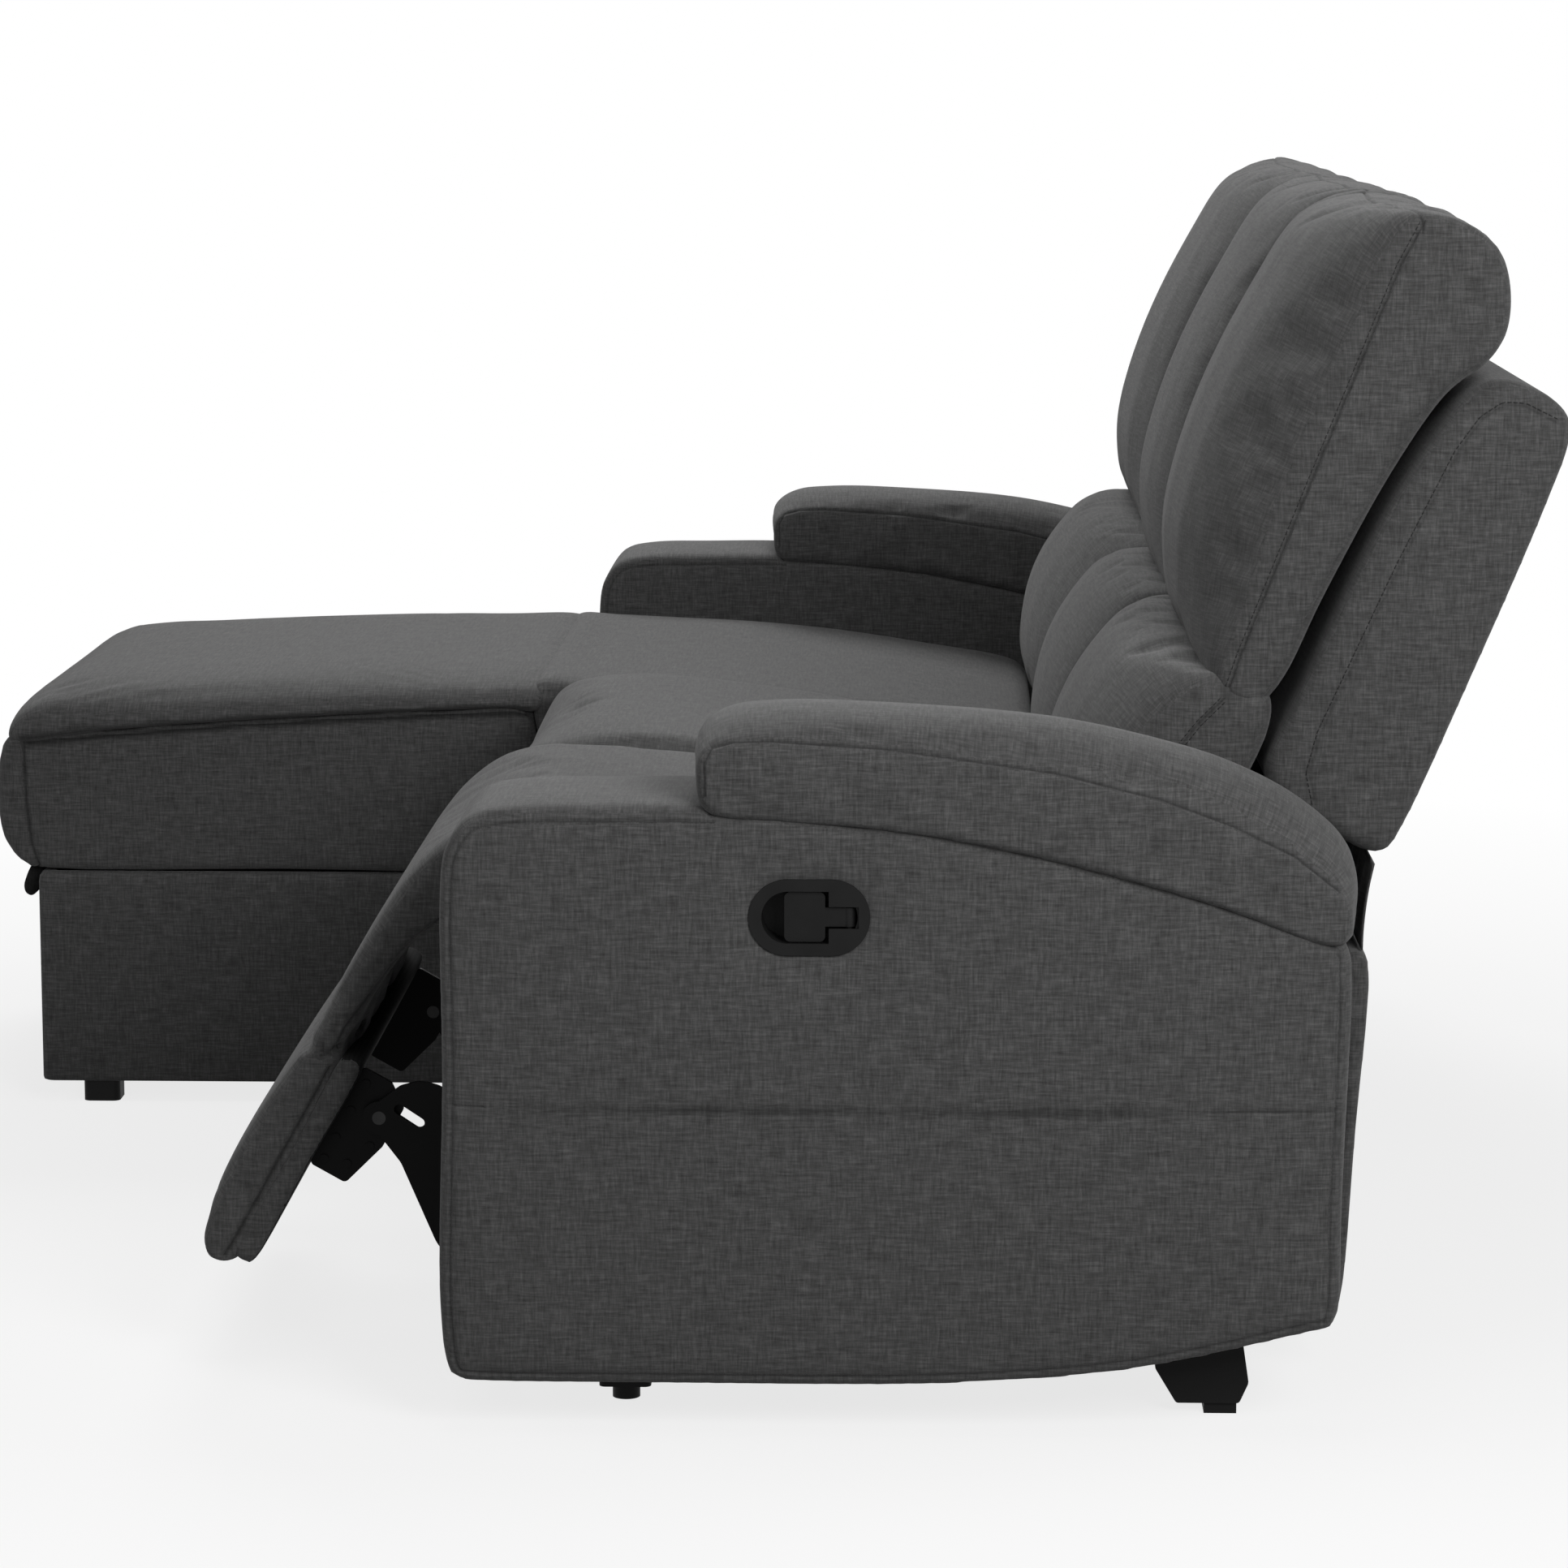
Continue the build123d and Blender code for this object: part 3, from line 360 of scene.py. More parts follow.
def even_mesh(piece, voxel, easing):
    """Gives the piece an even mesh that can bend like cloth."""
    even = piece.modifiers.new("even", "REMESH")
    even.mode, even.voxel_size = "VOXEL", voxel * MM
    ease = piece.modifiers.new("ease", "SMOOTH")
    ease.factor, ease.iterations = 0.5, easing
    settle(piece)


def points_of(piece):
    points = np.empty(len(piece.data.vertices) * 3)
    normals = np.empty_like(points)
    piece.data.vertices.foreach_get("co", points)
    piece.data.vertices.foreach_get("normal", normals)
    return points.reshape(-1, 3), normals.reshape(-1, 3)


def put_points(piece, points):
    piece.data.vertices.foreach_set("co", points.astype(np.float32).ravel())
    piece.data.update()


def swell(piece, pressure, cap, held, slack):
    """Swells the cover as its filling does. It stays where held says it is sewn or rests."""
    points, normals = points_of(piece)
    group = piece.vertex_groups.new(name="held")
    weights = np.clip(held(measured(points), normals), 0, 1)
    grades = 10
    for grade in range(1, grades + 1):
        chosen = np.nonzero(np.round(weights * grades) == grade)[0]
        group.add(chosen.tolist(), grade / grades, "REPLACE")
    cloth = piece.modifiers.new("cloth", "CLOTH")
    cloth.settings.quality = 4
    cloth.settings.mass = 0.3
    cloth.settings.tension_stiffness = cloth.settings.compression_stiffness = 20
    cloth.settings.shear_stiffness = 8
    cloth.settings.bending_stiffness = 1.2
    cloth.settings.use_pressure = True
    cloth.settings.uniform_pressure_force = pressure
    cloth.settings.vertex_group_mass = "held"
    cloth.settings.shrink_min = -slack
    cloth.settings.effector_weights.gravity = 0
    cloth.collision_settings.use_collision = False
    moments = 16
    cloth.point_cache.frame_start, cloth.point_cache.frame_end = 1, moments
    for moment in range(1, moments + 1):
        bpy.context.scene.frame_set(moment)
    seen = piece.evaluated_get(bpy.context.evaluated_depsgraph_get())
    swollen = np.empty(points.size)
    seen.data.vertices.foreach_get("co", swollen)
    move = swollen.reshape(-1, 3) - points
    reach = np.linalg.norm(move, axis=1)[:, None]
    limit = cap * MM * np.tanh(reach / (cap * MM)) / np.maximum(reach, 1e-9)
    piece.modifiers.clear()
    piece.vertex_groups.clear()
    bpy.context.scene.frame_set(1)
    put_points(piece, points + move * limit)


def fill(piece, pressure, cap, held, slack=0.015):
    """Fills a cover, then gives it a finer mesh."""
    swell(piece, pressure, cap, held, slack)
    finer = piece.modifiers.new("finer", "SUBSURF")
    finer.levels = finer.render_levels = 1
    settle(piece)


def mirrored(piece, name, plane):
    """The same piece handed the other way, across a plane square to the sofa's length."""
    shape = bmesh.new()
    shape.from_mesh(piece.data)
    turn = Matrix.Translation((2 * plane * MM, 0, 0)) @ Matrix.Diagonal((-1, 1, 1, 1))
    bmesh.ops.transform(shape, matrix=turn, verts=shape.verts)
    bmesh.ops.reverse_faces(shape, faces=shape.faces)
    return piece_of(name, shape)


# Seams: a line drawn on one face of a piece, seen square on. Each seam also paints shade into the cloth
# along it.
faces_seen = {
    "near": ((1, 2), (1, 0, 0)),
    "far": ((1, 2), (-1, 0, 0)),
    "top": ((0, 1), (0, 0, 1)),
    "front": ((0, 2), (0, -1, 0)),
    "rear": ((0, 2), (0, 1, 0)),
}
both_ends = ("near", "far")


class Seam:
    """A sewn line. It is sunk between soft lips, may gather the cloth, and may have stitches beside it. Its
    dark value sets how much shade is painted into the cloth along it.
    """

    def __init__(self, face, path, sunk=2.5, wide=2.6, gather=0.0, rows=(), closed=False, dark=0.8):
        self.axes, self.facing = faces_seen[face]
        self.path = np.array(list(path) + ([path[0]] if closed else []), float)
        self.sunk, self.wide, self.gather, self.rows, self.dark = sunk, wide, gather, rows, dark

    def near(self, points, normals):
        """How far each point is from the line, and how far along it."""
        flat = measured(points)[:, self.axes]
        best = np.full(len(flat), 1e9)
        along = np.zeros(len(flat))
        start = 0.0
        for a, b in zip(self.path[:-1], self.path[1:]):
            run = b - a
            length = np.linalg.norm(run)
            t = np.clip((flat - a) @ run / length**2, 0, 1)
            away = np.linalg.norm(flat - a - t[:, None] * run, axis=1)
            closer = away < best
            best[closer] = away[closer]
            along[closer] = start + t[closer] * length
            start += length
        best[normals @ np.array(self.facing) < 0.15] = 1e9
        return best, along

    def stitched(self, shape, tree, offset):
        """Adds a row of stitches beside the line, laid on the piece."""
        pitch, long, half_thick = 5.2, 3.6, 0.0006
        runs = np.diff(self.path, axis=0)
        lengths = np.linalg.norm(runs, axis=1)
        starts = np.concatenate(((0,), np.cumsum(lengths)))
        facing = Vector(self.facing)
        for begin in np.arange(1.5, starts[-1] - long, pitch):
            ends = []
            for s in (begin, begin + long):
                i = min(np.searchsorted(starts, s, "right") - 1, len(runs) - 1)
                run = runs[i] / lengths[i]
                flat = self.path[i] + run * (s - starts[i]) + offset * np.array((-run[1], run[0]))
                spot = [0.0, 0.0, 0.0]
                spot[self.axes[0]], spot[self.axes[1]] = flat
                hit = tree.ray_cast(place(*spot) + facing * 3, -facing)
                if hit[0] is not None:
                    ends.append(hit[0] + hit[1] * 0.0002)
            if len(ends) == 2 and (ends[1] - ends[0]).length < 2.5 * long * MM:
                middle, run = (ends[0] + ends[1]) / 2, ends[1] - ends[0]
                turn = run.to_track_quat("Z", "X").to_matrix().to_4x4()
                bmesh.ops.create_cone(
                    shape, cap_ends=True, segments=5, radius1=half_thick, radius2=half_thick,
                    depth=run.length, matrix=Matrix.Translation(middle) @ turn,
                )


def wobble(along, period):
    """An uneven ripple along a seam."""
    turn = 2 * math.pi * along / period
    return (np.sin(turn) + 0.6 * np.sin(1.73 * turn + 1.1) + 0.5 * np.sin(0.61 * turn + 2.3)) / 2.1


def sew(piece, seams, fine=2):
    """Sinks the seams into the piece, on a mesh made finer along them, and stores how much painted shade
    darkens the cloth along each one.
    """
    for level in range(fine):
        points, normals = points_of(piece)
        close = np.zeros(len(points), bool)
        for seam in seams:
            close |= seam.near(points, normals)[0] < seam.wide * (4.5 if level == 0 else 3)
        shape = bmesh.new()
        shape.from_mesh(piece.data)
        shape.verts.ensure_lookup_table()
        edges = [e for e in shape.edges if close[e.verts[0].index] and close[e.verts[1].index]]
        bmesh.ops.subdivide_edges(shape, edges=edges, cuts=1, use_grid_fill=True)
        shape.to_mesh(piece.data)
        shape.free()
    points, normals = points_of(piece)
    depth = np.zeros(len(points))
    tucked = np.zeros(len(points))
    for seam in seams:
        away, along = seam.near(points, normals)
        depth -= seam.sunk * np.exp(-((away / seam.wide) ** 2))
        depth += 0.06 * seam.sunk * np.exp(-(((away - 2.4 * seam.wide) / (1.6 * seam.wide)) ** 2))
        # Painted shade: the weight that darkens the cloth colour in and beside each seam's groove.
        tucked = np.maximum(tucked, seam.dark * np.exp(-((away / (0.75 * min(seam.wide, 6))) ** 2)))
        if seam.gather:
            fade = np.exp(-away / 22) * (1 - np.exp(-((away / 5) ** 2)))
            depth += seam.gather * wobble(along, 17) * fade
    put_points(piece, points + normals * depth[:, None] * MM)
    shade = piece.data.attributes.new("tucked", "FLOAT", "POINT")
    shade.data.foreach_set("value", tucked.astype(np.float32))


def stitch_rows(piece, seams):
    """A piece of thread for every stitch of the piece's seams, or nothing."""
    shape = bmesh.new()
    tree = BVHTree.FromObject(piece, bpy.context.evaluated_depsgraph_get())
    for seam in seams:
        for offset in seam.rows:
            seam.stitched(shape, tree, offset)
    if not shape.verts:
        shape.free()
        return None
    return piece_of(piece.name + "_stitches", shape, thread)


def weave_map(piece, outline, steps=6):
    """Lays the cloth: round the outline and along the sofa, or flat on the two ends."""
    points, _ = points_of(piece)
    spots = measured(points)
    around = np.zeros(len(spots))
    if outline is not None:
        line = curve_through(outline, steps)
        ring = line[:, :2] + 0.7 * line[:, 2:4]
        path = Seam("near", ring, closed=True)
        around = path.near(points, np.tile((1.0, 0, 0), (len(points), 1)))[1]
    mesh = piece.data
    corners = np.empty(len(mesh.loops), int)
    mesh.loops.foreach_get("vertex_index", corners)
    facing = np.empty(len(mesh.polygons) * 3)
    mesh.polygons.foreach_get("normal", facing)
    totals = np.empty(len(mesh.polygons), int)
    mesh.polygons.foreach_get("loop_total", totals)
    facing = np.repeat(facing.reshape(-1, 3), totals, 0)
    here = spots[corners]
    cloth = np.stack((here[:, 0], around[corners]), 1)
    if outline is None:
        cloth[:, 1] = here[:, 2]
        flat = np.abs(facing[:, 2]) > 0.7
        cloth[flat, 1] = here[flat, 1]
    ends = np.abs(facing[:, 0]) > 0.72
    cloth[ends] = here[ends][:, 1:]
    layer = mesh.uv_layers.new(name="weave")
    layer.data.foreach_set("uv", (cloth * MM).astype(np.float32).ravel())
    mesh.polygons.foreach_set("use_smooth", np.ones(len(mesh.polygons), bool))


def dress(piece, outline, seams, body, nodes, bend=None):
    """Finishes an upholstered piece: seams, cloth, stitches, and the body that it moves with, or, given
    bend, its place baked into its mesh with no body.
    """
    if seams:
        sew(piece, seams)
    weave_map(piece, outline)
    piece.data.materials.clear()
    piece.data.materials.append(charcoal)
    parts = [piece]
    rows = stitch_rows(piece, seams)
    if rows:
        weave_map(rows, None)
        parts.append(rows)
    for part in parts:
        if bend:
            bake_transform(part)
        else:
            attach(part, body)
    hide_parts(*nodes)
    return piece


# Stations along a piece: share of its length, fullness, and how far the ring is drawn in
round_end = (
    (0, 0.0, 9), (0.006, 0.10, 4), (0.02, 0.2, 1), (0.05, 0.36, 0), (0.1, 0.53, 0), (0.18, 0.72, 0),
    (0.3, 0.9, 0),
)
valley_end = (
    (0, 0.42, 12), (0.006, 0.5, 6), (0.02, 0.6, 2), (0.05, 0.7, 0), (0.1, 0.79, 0), (0.18, 0.88, 0),
    (0.3, 0.96, 0),
)
crisp_end = (
    (0, 0.05, 9), (0.005, 0.3, 3), (0.014, 0.55, 0.6), (0.03, 0.78, 0), (0.05, 0.9, 0), (0.08, 0.96, 0),
    (0.2, 1, 0),
)


def stations(low_end, high_end):
    return (*low_end, (0.5, 1, 0), *[(1 - share, full, draw) for share, full, draw in high_end[::-1]])


# Arms
arm_outline = [
    (28, 44), (174, 43), (430, 45), (584, 59), (726, 91), (748, 97), (754, 114), (755, 194), (760, 405),
    (757, 421), (745, 431), (647, 465), (512, 502), (378, 526), (230, 536), (130, 536), (55, 534),
    (23, 526), (5, 502), (0, 472), (0, 300), (-4, 150), (-3, 100), (3, 54), (11, 46),
]
arm_crown = {536: 4, 534: 4, 526: 3}
crown_end = 300
arm_line = []
for depth, height in arm_outline:
    arm_line.append((depth, height, 0, arm_crown.get(height, 0) if depth < crown_end else 0))
arm_end = ((0, 0, 12), (0.01, 0.05, 6.4), (0.03, 0.16, 2.2), (0.06, 0.3, 0), (0.15, 0.65, 0), (0.3, 0.94, 0))
arm_stations = stations(arm_end, arm_end)


def inside_by(points, path):
    """How deep each flat point is inside a closed path, in millimetres."""
    loop = Seam("near", path, closed=True)
    spots = np.zeros((len(points), 3))
    spots[:, 1:] = points * MM
    spots[:, 1] += front_y
    return loop.near(spots, np.tile((1.0, 0, 0), (len(points), 1)))[0]


def in_stadium(flat, centre, long, tall):
    """How far each flat point is inside a block with round ends, below 0 outside."""
    run = np.maximum(np.abs(flat[:, 0] - centre[0]) - (long - tall) / 2, 0)
    return tall / 2 - np.hypot(run, flat[:, 1] - centre[1])


cup_centre, cup_size = (309, 446), (101, 64)


def arm_panel(name, x_low, x_high, cup):
    """An arm's cover and its seams. The cover sinks towards the release cup."""
    arm = piece_of(name, stuffed(arm_line, x_low, x_high, arm_stations, 4))
    even_mesh(arm, 6.5, 3)
    points, normals = points_of(arm)
    spots = measured(points)
    line = curve_through(arm_line, 4)[:, :2]
    deep = inside_by(spots[:, 1:], line)
    fullness, band_wide, rise = 5.5, 10, 45
    puff = fullness * (1 - np.exp(-np.maximum(deep - band_wide, 0) / rise))
    ends = np.abs(normals[:, 0]) > 0.5
    puff[~ends] = 0
    if cup:
        gap = in_stadium(spots[:, 1:], cup, *cup_size)
        calm = 1 / (1 + np.exp((gap + 24) / 7))
        tuck = 4.2 / (1 + np.exp(-(gap + 2.5) / 1.2))
        outer = normals[:, 0] > 0.5
        puff[outer] = (puff * calm - tuck)[outer]
    points[:, 0] += np.sign(normals[:, 0]) * puff * MM
    put_points(arm, points)
    band = drawn_in(line, band_wide)
    bare = np.nonzero((band[:, 0] < 232) | (band[:, 1] < 418))[0]
    start = next(i for i in bare if (i - 1) % len(band) not in bare)
    bare = sorted(bare, key=lambda i: (i - start) % len(band))
    seams = [Seam(side, band[bare], 1.5, 1.7, 0.25, dark=0.6) for side in both_ends]
    # Painted shade: a dark line under the pad's edge stands in for the thin shadow the pad casts on the arm.
    under_pad = [(226, 533), (300, 528), (400, 517), (512, 495), (647, 458), (745, 424)]
    seams += [Seam(side, under_pad, 2.5, 3.0, dark=0.9) for side in both_ends]
    side_seam = [(12, 284), (190, 283), (380, 282), (560, 283), (746, 285)]
    seams += [Seam(side, side_seam, 1.6, 1.2, 0.5, dark=0.7) for side in both_ends]
    return arm, seams


for name, node, x_low, x_high, cup in (
    ("near_arm_panel", "near_arm_cover", near_inner, near_outer, cup_centre),
    ("far_arm_panel", "far_arm_cover", far_outer, far_inner, None),
):
    arm, seams = arm_panel(name, x_low, x_high, cup)
    if cup:
        sew(arm, seams)
        shape = bmesh.new()
        shape.from_mesh(arm.data)
        middles = np.array([face.calc_center_median() for face in shape.faces])
        gap = in_stadium(measured(middles)[:, 1:], cup, *cup_size)
        tucked_in, skin_depth = 5, 30
        cut = (gap > tucked_in) & (middles[:, 0] > (near_outer - skin_depth) * MM)
        faces = list(shape.faces)
        bmesh.ops.delete(shape, geom=[faces[i] for i in np.nonzero(cut)[0]], context="FACES")
        shape.to_mesh(arm.data)
        shape.free()
        dress(arm, arm_line, [], "sofa_frame", [node])
    else:
        dress(arm, arm_line, seams, "sofa_frame", [node])

# Arm pads
pad_outline = [
    (300, 524, 0, 0), (230, 529, 0, 0), (219, 537, -3, 0), (216, 560, -4, 2), (219, 580, -5, 8),
    (236, 589, 0, 16), (277, 592, 0, 18), (378, 586, 0, 21), (512, 567, 0, 30), (600, 545, 0, 34),
    (660, 523, 0, 38), (713, 497, 6, 34), (745, 470, 14, 24), (756, 446, 12, 10), (757, 428, 8, 0),
    (745, 421, 0, 0), (647, 455, 0, 0), (512, 492, 0, 0), (400, 514, 0, 0),
]
pad_end = ((0, 0, 6), (0.015, 0.05, 1.5), (0.04, 0.14, 0), (0.1, 0.36, 0), (0.2, 0.66, 0), (0.33, 0.9, 0))
pad_stations = stations(pad_end, pad_end)
pad_seam = [
    (222, 548), (221, 575), (228, 588), (246, 593), (277, 594), (378, 587), (512, 568), (600, 546),
    (660, 524), (713, 498), (748, 470),
]


def rests_low(points, normals):
    """Held where it rests on something below."""
    return (normals[:, 2] < -0.5) * 1.0


near_pad = piece_of(
    "near_arm_cushion", stuffed(pad_outline, near_inner - 2, near_outer + 3, pad_stations, 4))
even_mesh(near_pad, 7.5, 2)
fill(near_pad, 1.5, 5, rests_low)
far_pad = mirrored(near_pad, "far_arm_cushion", 0)
for pad, node in ((near_pad, "near_arm_pad"), (far_pad, "far_arm_pad")):
    seams = [Seam(side, pad_seam, 1.5, 1.6, 0.3, dark=0.7) for side in both_ends]
    dress(pad, pad_outline, seams, "sofa_frame", [node])

# Backs: shells, head pillows and lumbar rolls
shell_outline = [
    (728, 503), (760, 484), (790, 469), (803, 470), (814, 484), (876, 625), (937, 775), (955, 830),
    (953, 848), (936, 865), (907, 878), (886, 879), (868, 868), (840, 832), (793, 753), (726, 605),
    (703, 556), (699, 540), (703, 524),
]
shell_line = [(depth, height, 0, 0) for depth, height in shell_outline]
shell_stations = (
    (0, 0, 12), (0.004, 0, 7), (0.012, 0, 2.4), (0.025, 0, 0), (0.975, 0, 0), (0.988, 0, 2.4), (0.996, 0, 7),
    (1, 0, 12),
)
shell_seam = [
    (742, 512), (736, 540), (745, 575), (810, 720), (858, 818), (878, 846), (896, 858), (914, 857),
    (942, 843),
]

pillow_outline = [
    (706, 611, 8, -3), (744, 690, 9, -4), (803, 802, 9, -4), (853, 872, 4, -4), (882, 890, 0, 0),
    (900, 916, 0, 0), (904, 948, 0, 0), (896, 984, 0, 0), (872, 1008, 0, 4), (846, 1018, -4, 6),
    (822, 1018, -22, 10), (806, 990, -50, 18), (780, 925, -71, 15), (745, 835, -87, 4), (712, 752, -82, -8),
    (688, 690, -58, -4), (670, 644, -34, 8), (660, 612, -14, 12), (664, 590, 0, 4), (678, 586, 0, 0),
]
pillow_seam = [
    (826, 1014), (806, 976), (770, 884), (735, 796), (700, 706), (676, 644), (664, 608), (662, 594),
]
pillow_pinch = [(660, 603), (692, 596)]

lumbar_outline = [
    (606, 400, 0, 0), (636, 440, 2, 0), (678, 524, 5, -2), (702, 582, 6, -2), (702, 606, 2, 2),
    (676, 618, -18, 20), (640, 604, -32, 40), (606, 566, -40, 40), (576, 522, -42, 34), (558, 476, -38, 24),
    (556, 430, -34, 10), (564, 404, -24, 0), (580, 398, -6, 0),
]
lumbar_seam = [(662, 604), (640, 582), (612, 546), (588, 500), (578, 455)]


def rests_behind(points, normals):
    """Held where it lies against the shell, and on its two ends."""
    behind = np.clip((normals @ np.array((0, 0.92, -0.39)) - 0.35) * 4, 0, 1)
    ends = np.clip((np.abs(normals[:, 0]) - 0.6) * 4, 0, 1)
    return np.maximum(behind, 0.7 * ends)


def back_piece(name, outline, x_low, x_high, ends):
    """A filled pillow or roll of a back, not yet sewn."""
    piece = piece_of(name, stuffed(outline, x_low + 2, x_high - 7, stations(*ends), 4))
    even_mesh(piece, 9, 3)
    fill(piece, 1.5, 9, rests_behind)
    return piece


near_pillow = back_piece("near_head_pillow", pillow_outline, middle_end, near_inner, (valley_end, round_end))
near_roll = back_piece("near_lumbar_roll", lumbar_outline, middle_end, near_inner, (valley_end, round_end))
backs = (
    ("near", "backrest", middle_end, near_inner, near_pillow, near_roll),
    (
        "middle", "sofa_frame", chaise_end, middle_end,
        mirrored(near_pillow, "middle_head_pillow", middle_end),
        mirrored(near_roll, "middle_lumbar_roll", middle_end),
    ),
    (
        "chaise", "sofa_frame", far_inner, chaise_end,
        back_piece("chaise_head_pillow", pillow_outline, far_inner, chaise_end, (round_end, round_end)),
        back_piece("chaise_lumbar_roll", lumbar_outline, far_inner, chaise_end, (round_end, round_end)),
    ),
)
for name, body, x_low, x_high, pillow, roll in backs:
    shell = piece_of(f"{name}_back_shell", stuffed(shell_line, x_low + 2, x_high - 2, shell_stations, 4))
    even_mesh(shell, 6.5, 3)
    seams = [Seam(side, shell_seam, 0.9, 1.3, 0.2, (3.0,), dark=0.45) for side in both_ends]
    dress(shell, shell_line, seams, body, [f"{name}_back_cover"])
    seams = [Seam(side, pillow_seam, 1.6, 1.6, 0.3, (-2.6,), dark=0.7) for side in both_ends]
    middle = (x_low + x_high) / 2
    across = [(x_low + 3, 826), (x_low + 60, 814), (middle, 802), (x_high - 60, 814), (x_high - 3, 826)]
    seams.append(Seam("top", across, 1.5, 1.6, 0.3, dark=0.7))
    # Painted shade in the pucker where the pillow's side seam meets the lumbar roll.
    seams += [Seam(side, pillow_pinch, 5, 4.5, 0.6, dark=0.5) for side in both_ends]
    dress(pillow, pillow_outline, seams, body, [f"{name}_back_pillow"])
    seams = [Seam(side, lumbar_seam, 1.4, 1.5, 0.4, (-2.6, 2.6), dark=0.6) for side in both_ends]
    dress(roll, lumbar_outline, seams, body, [f"{name}_lumbar"])

# Recliner seat: one cover over the seat, the flap and the footrest pad
seat_rise = [
    (512, 323, 0, 0), (522, 362, 0, 0), (524, 394, 0, 4), (508, 410, 0, 6), (400, 430, 0, 8),
    (300, 448, 0, 11), (200, 461, 0, 13),
]
recliner_outline = seat_rise + [
    (110, 468, 0, 15), (40, 468, -2, 18), (0, 456, -8, 20), (-28, 432, -12, 16), (-62, 392, -10, 8),
    (-96, 340, -8, 5), (-124, 294, -5, 2), (-156, 246, -8, 4), (-192, 184, -10, 5), (-217, 138, -8, 3),
    (-230, 112, -5, 0), (-227, 99, -2, 0), (-216, 94, 0, 0), (-202, 98, 0, 0), (-163, 168, 0, 0),
    (-112, 262, 0, 0), (-100, 300, 0, 0), (-66, 356, 0, 0), (-30, 396, 0, 0), (-8, 400, 0, 0),
    (2, 384, 0, 0), (6, 345, 0, 0), (16, 325, 0, 0), (120, 323, 0, 0),
]
seat_stations = stations(crisp_end, crisp_end)


def seat_held(points, normals):
    """Held where it rests on the deck, and behind under the roll."""
    low = np.clip((-normals[:, 2] - 0.4) * 3, 0, 1)
    rear = (points[:, 1] > 500) * 1.0
    return np.maximum(low, rear)


fold = (0.61, front_y - 10 * MM, 0.44)
flap_turn = Vector((0, -0.96, -0.28))
bend_start = Vector(fold) + flap_turn * 0.022
bend_end = Vector(fold) + flap_turn * 0.150
seat = piece_of(
    "recliner_seat", stuffed(recliner_outline, middle_end + 4, near_inner - 4, seat_stations, 4))
even_mesh(seat, 9, 2)
fill(seat, 1.2, 7, seat_held)
flap_edge = [(-20, 406), (-63, 362), (-103, 309), (-114, 288)]
flap_pinch = [(-98, 293), (-126, 284)]
board_edge = [(-117, 273), (-213, 103)]
flap_crease = [(middle_end + 6, 291), (near_inner - 6, 291)]
seams = [Seam(side, flap_edge, 1.8, 2.0, 0.5) for side in both_ends]
# Painted shade in the pinch where the flap meets the footrest pad.
seams += [Seam(side, flap_pinch, 5, 4, 0, dark=0.5) for side in both_ends]
seams += [Seam(side, board_edge, 3.0, 2.4, 0.3, dark=0.9) for side in both_ends]
# Painted shade, faint, along the crease across the flap's front.
seams.append(Seam("front", flap_crease, 4, 6, 0.6, dark=0.2))
dress(
    seat, recliner_outline, seams, None, ["near_seat_cushion", "footrest_flap", "footrest_pad"],
    ("sofa_frame", "footrest", bend_start, bend_end),
)

# Middle seat
middle_outline = seat_rise + [
    (120, 468, 0, 14), (56, 467, -2, 16), (18, 455, -8, 16), (0, 425, -8, 8), (-5, 372, -4, 2),
    (2, 336, 0, 0), (20, 324, 0, 0),
]
seat = piece_of("middle_seat", stuffed(middle_outline, chaise_end + 4, middle_end - 4, seat_stations, 5))
even_mesh(seat, 9, 2)
fill(seat, 1.2, 7, seat_held)
dress(seat, middle_outline, [], "sofa_frame", ["middle_seat_cushion"])

# Chaise: fixed rear length, lid cushion and lid border
chaise_outline = [
    (512, 323, 0, 0), (522, 362, 0, 0), (526, 394, 0, 4), (512, 408, 0, 6), (400, 426, 0, 9),
    (300, 438, 0, 13), (200, 446, 0, 16), (100, 448, 0, 20), (20, 449, 0, 23), (-21, 450, 0, 24),
    (-28, 444, 0, 22),
    (-26, 424, 0, 6), (-18, 396, 0, 0), (-17, 350, 0, 0), (-10, 326, 0, 0), (20, 323, 0, 0),
]


def chaise_held(points, normals):
    """Held like a seat, and more and more towards the joint with the lid."""
    return np.maximum(seat_held(points, normals), (130 - points[:, 1]) / 100)


seat = piece_of("chaise_seat", stuffed(chaise_outline, far_inner + 4, chaise_end - 3, seat_stations, 5))
even_mesh(seat, 9, 2)
fill(seat, 0.8, 4, chaise_held, 0)
dress(seat, chaise_outline, [], "sofa_frame", ["chaise_seat_cushion"])

lid_outline = [
    (-22, 436, 0, 0), (-13, 441, 0, 12), (-12, 447, 0, 22), (-20, 450, 0, 24), (-100, 450, 0, 24),
    (-184, 449, 0, 24), (-334, 444, 0, 24), (-440, 439, 0, 24), (-510, 436, -2, 25), (-560, 434, -8, 22),
    (-591, 422, -12, 12), (-603, 405, -7, 0), (-592, 400, -2, 0), (-500, 413, 0, 0), (-341, 426, 0, 0),
    (-120, 438, 0, 0), (-50, 440, 0, 0),
]
lid_near_end = (
    (0, 0.05, 10), (0.006, 0.16, 4), (0.016, 0.34, 0.8), (0.035, 0.52, 0), (0.06, 0.66, 0), (0.1, 0.79, 0),
    (0.16, 0.9, 0), (0.25, 0.97, 0),
)
lid_far_end = (
    (0, 0.05, 10), (0.006, 0.24, 4), (0.016, 0.5, 0.8), (0.035, 0.72, 0), (0.06, 0.86, 0), (0.1, 0.94, 0),
    (0.16, 0.98, 0),
)


def lid_held(points, normals):
    """Held on its box, and more and more towards the joint with the seat."""
    return np.maximum(rests_low(points, normals), (points[:, 1] + 170) / 110)


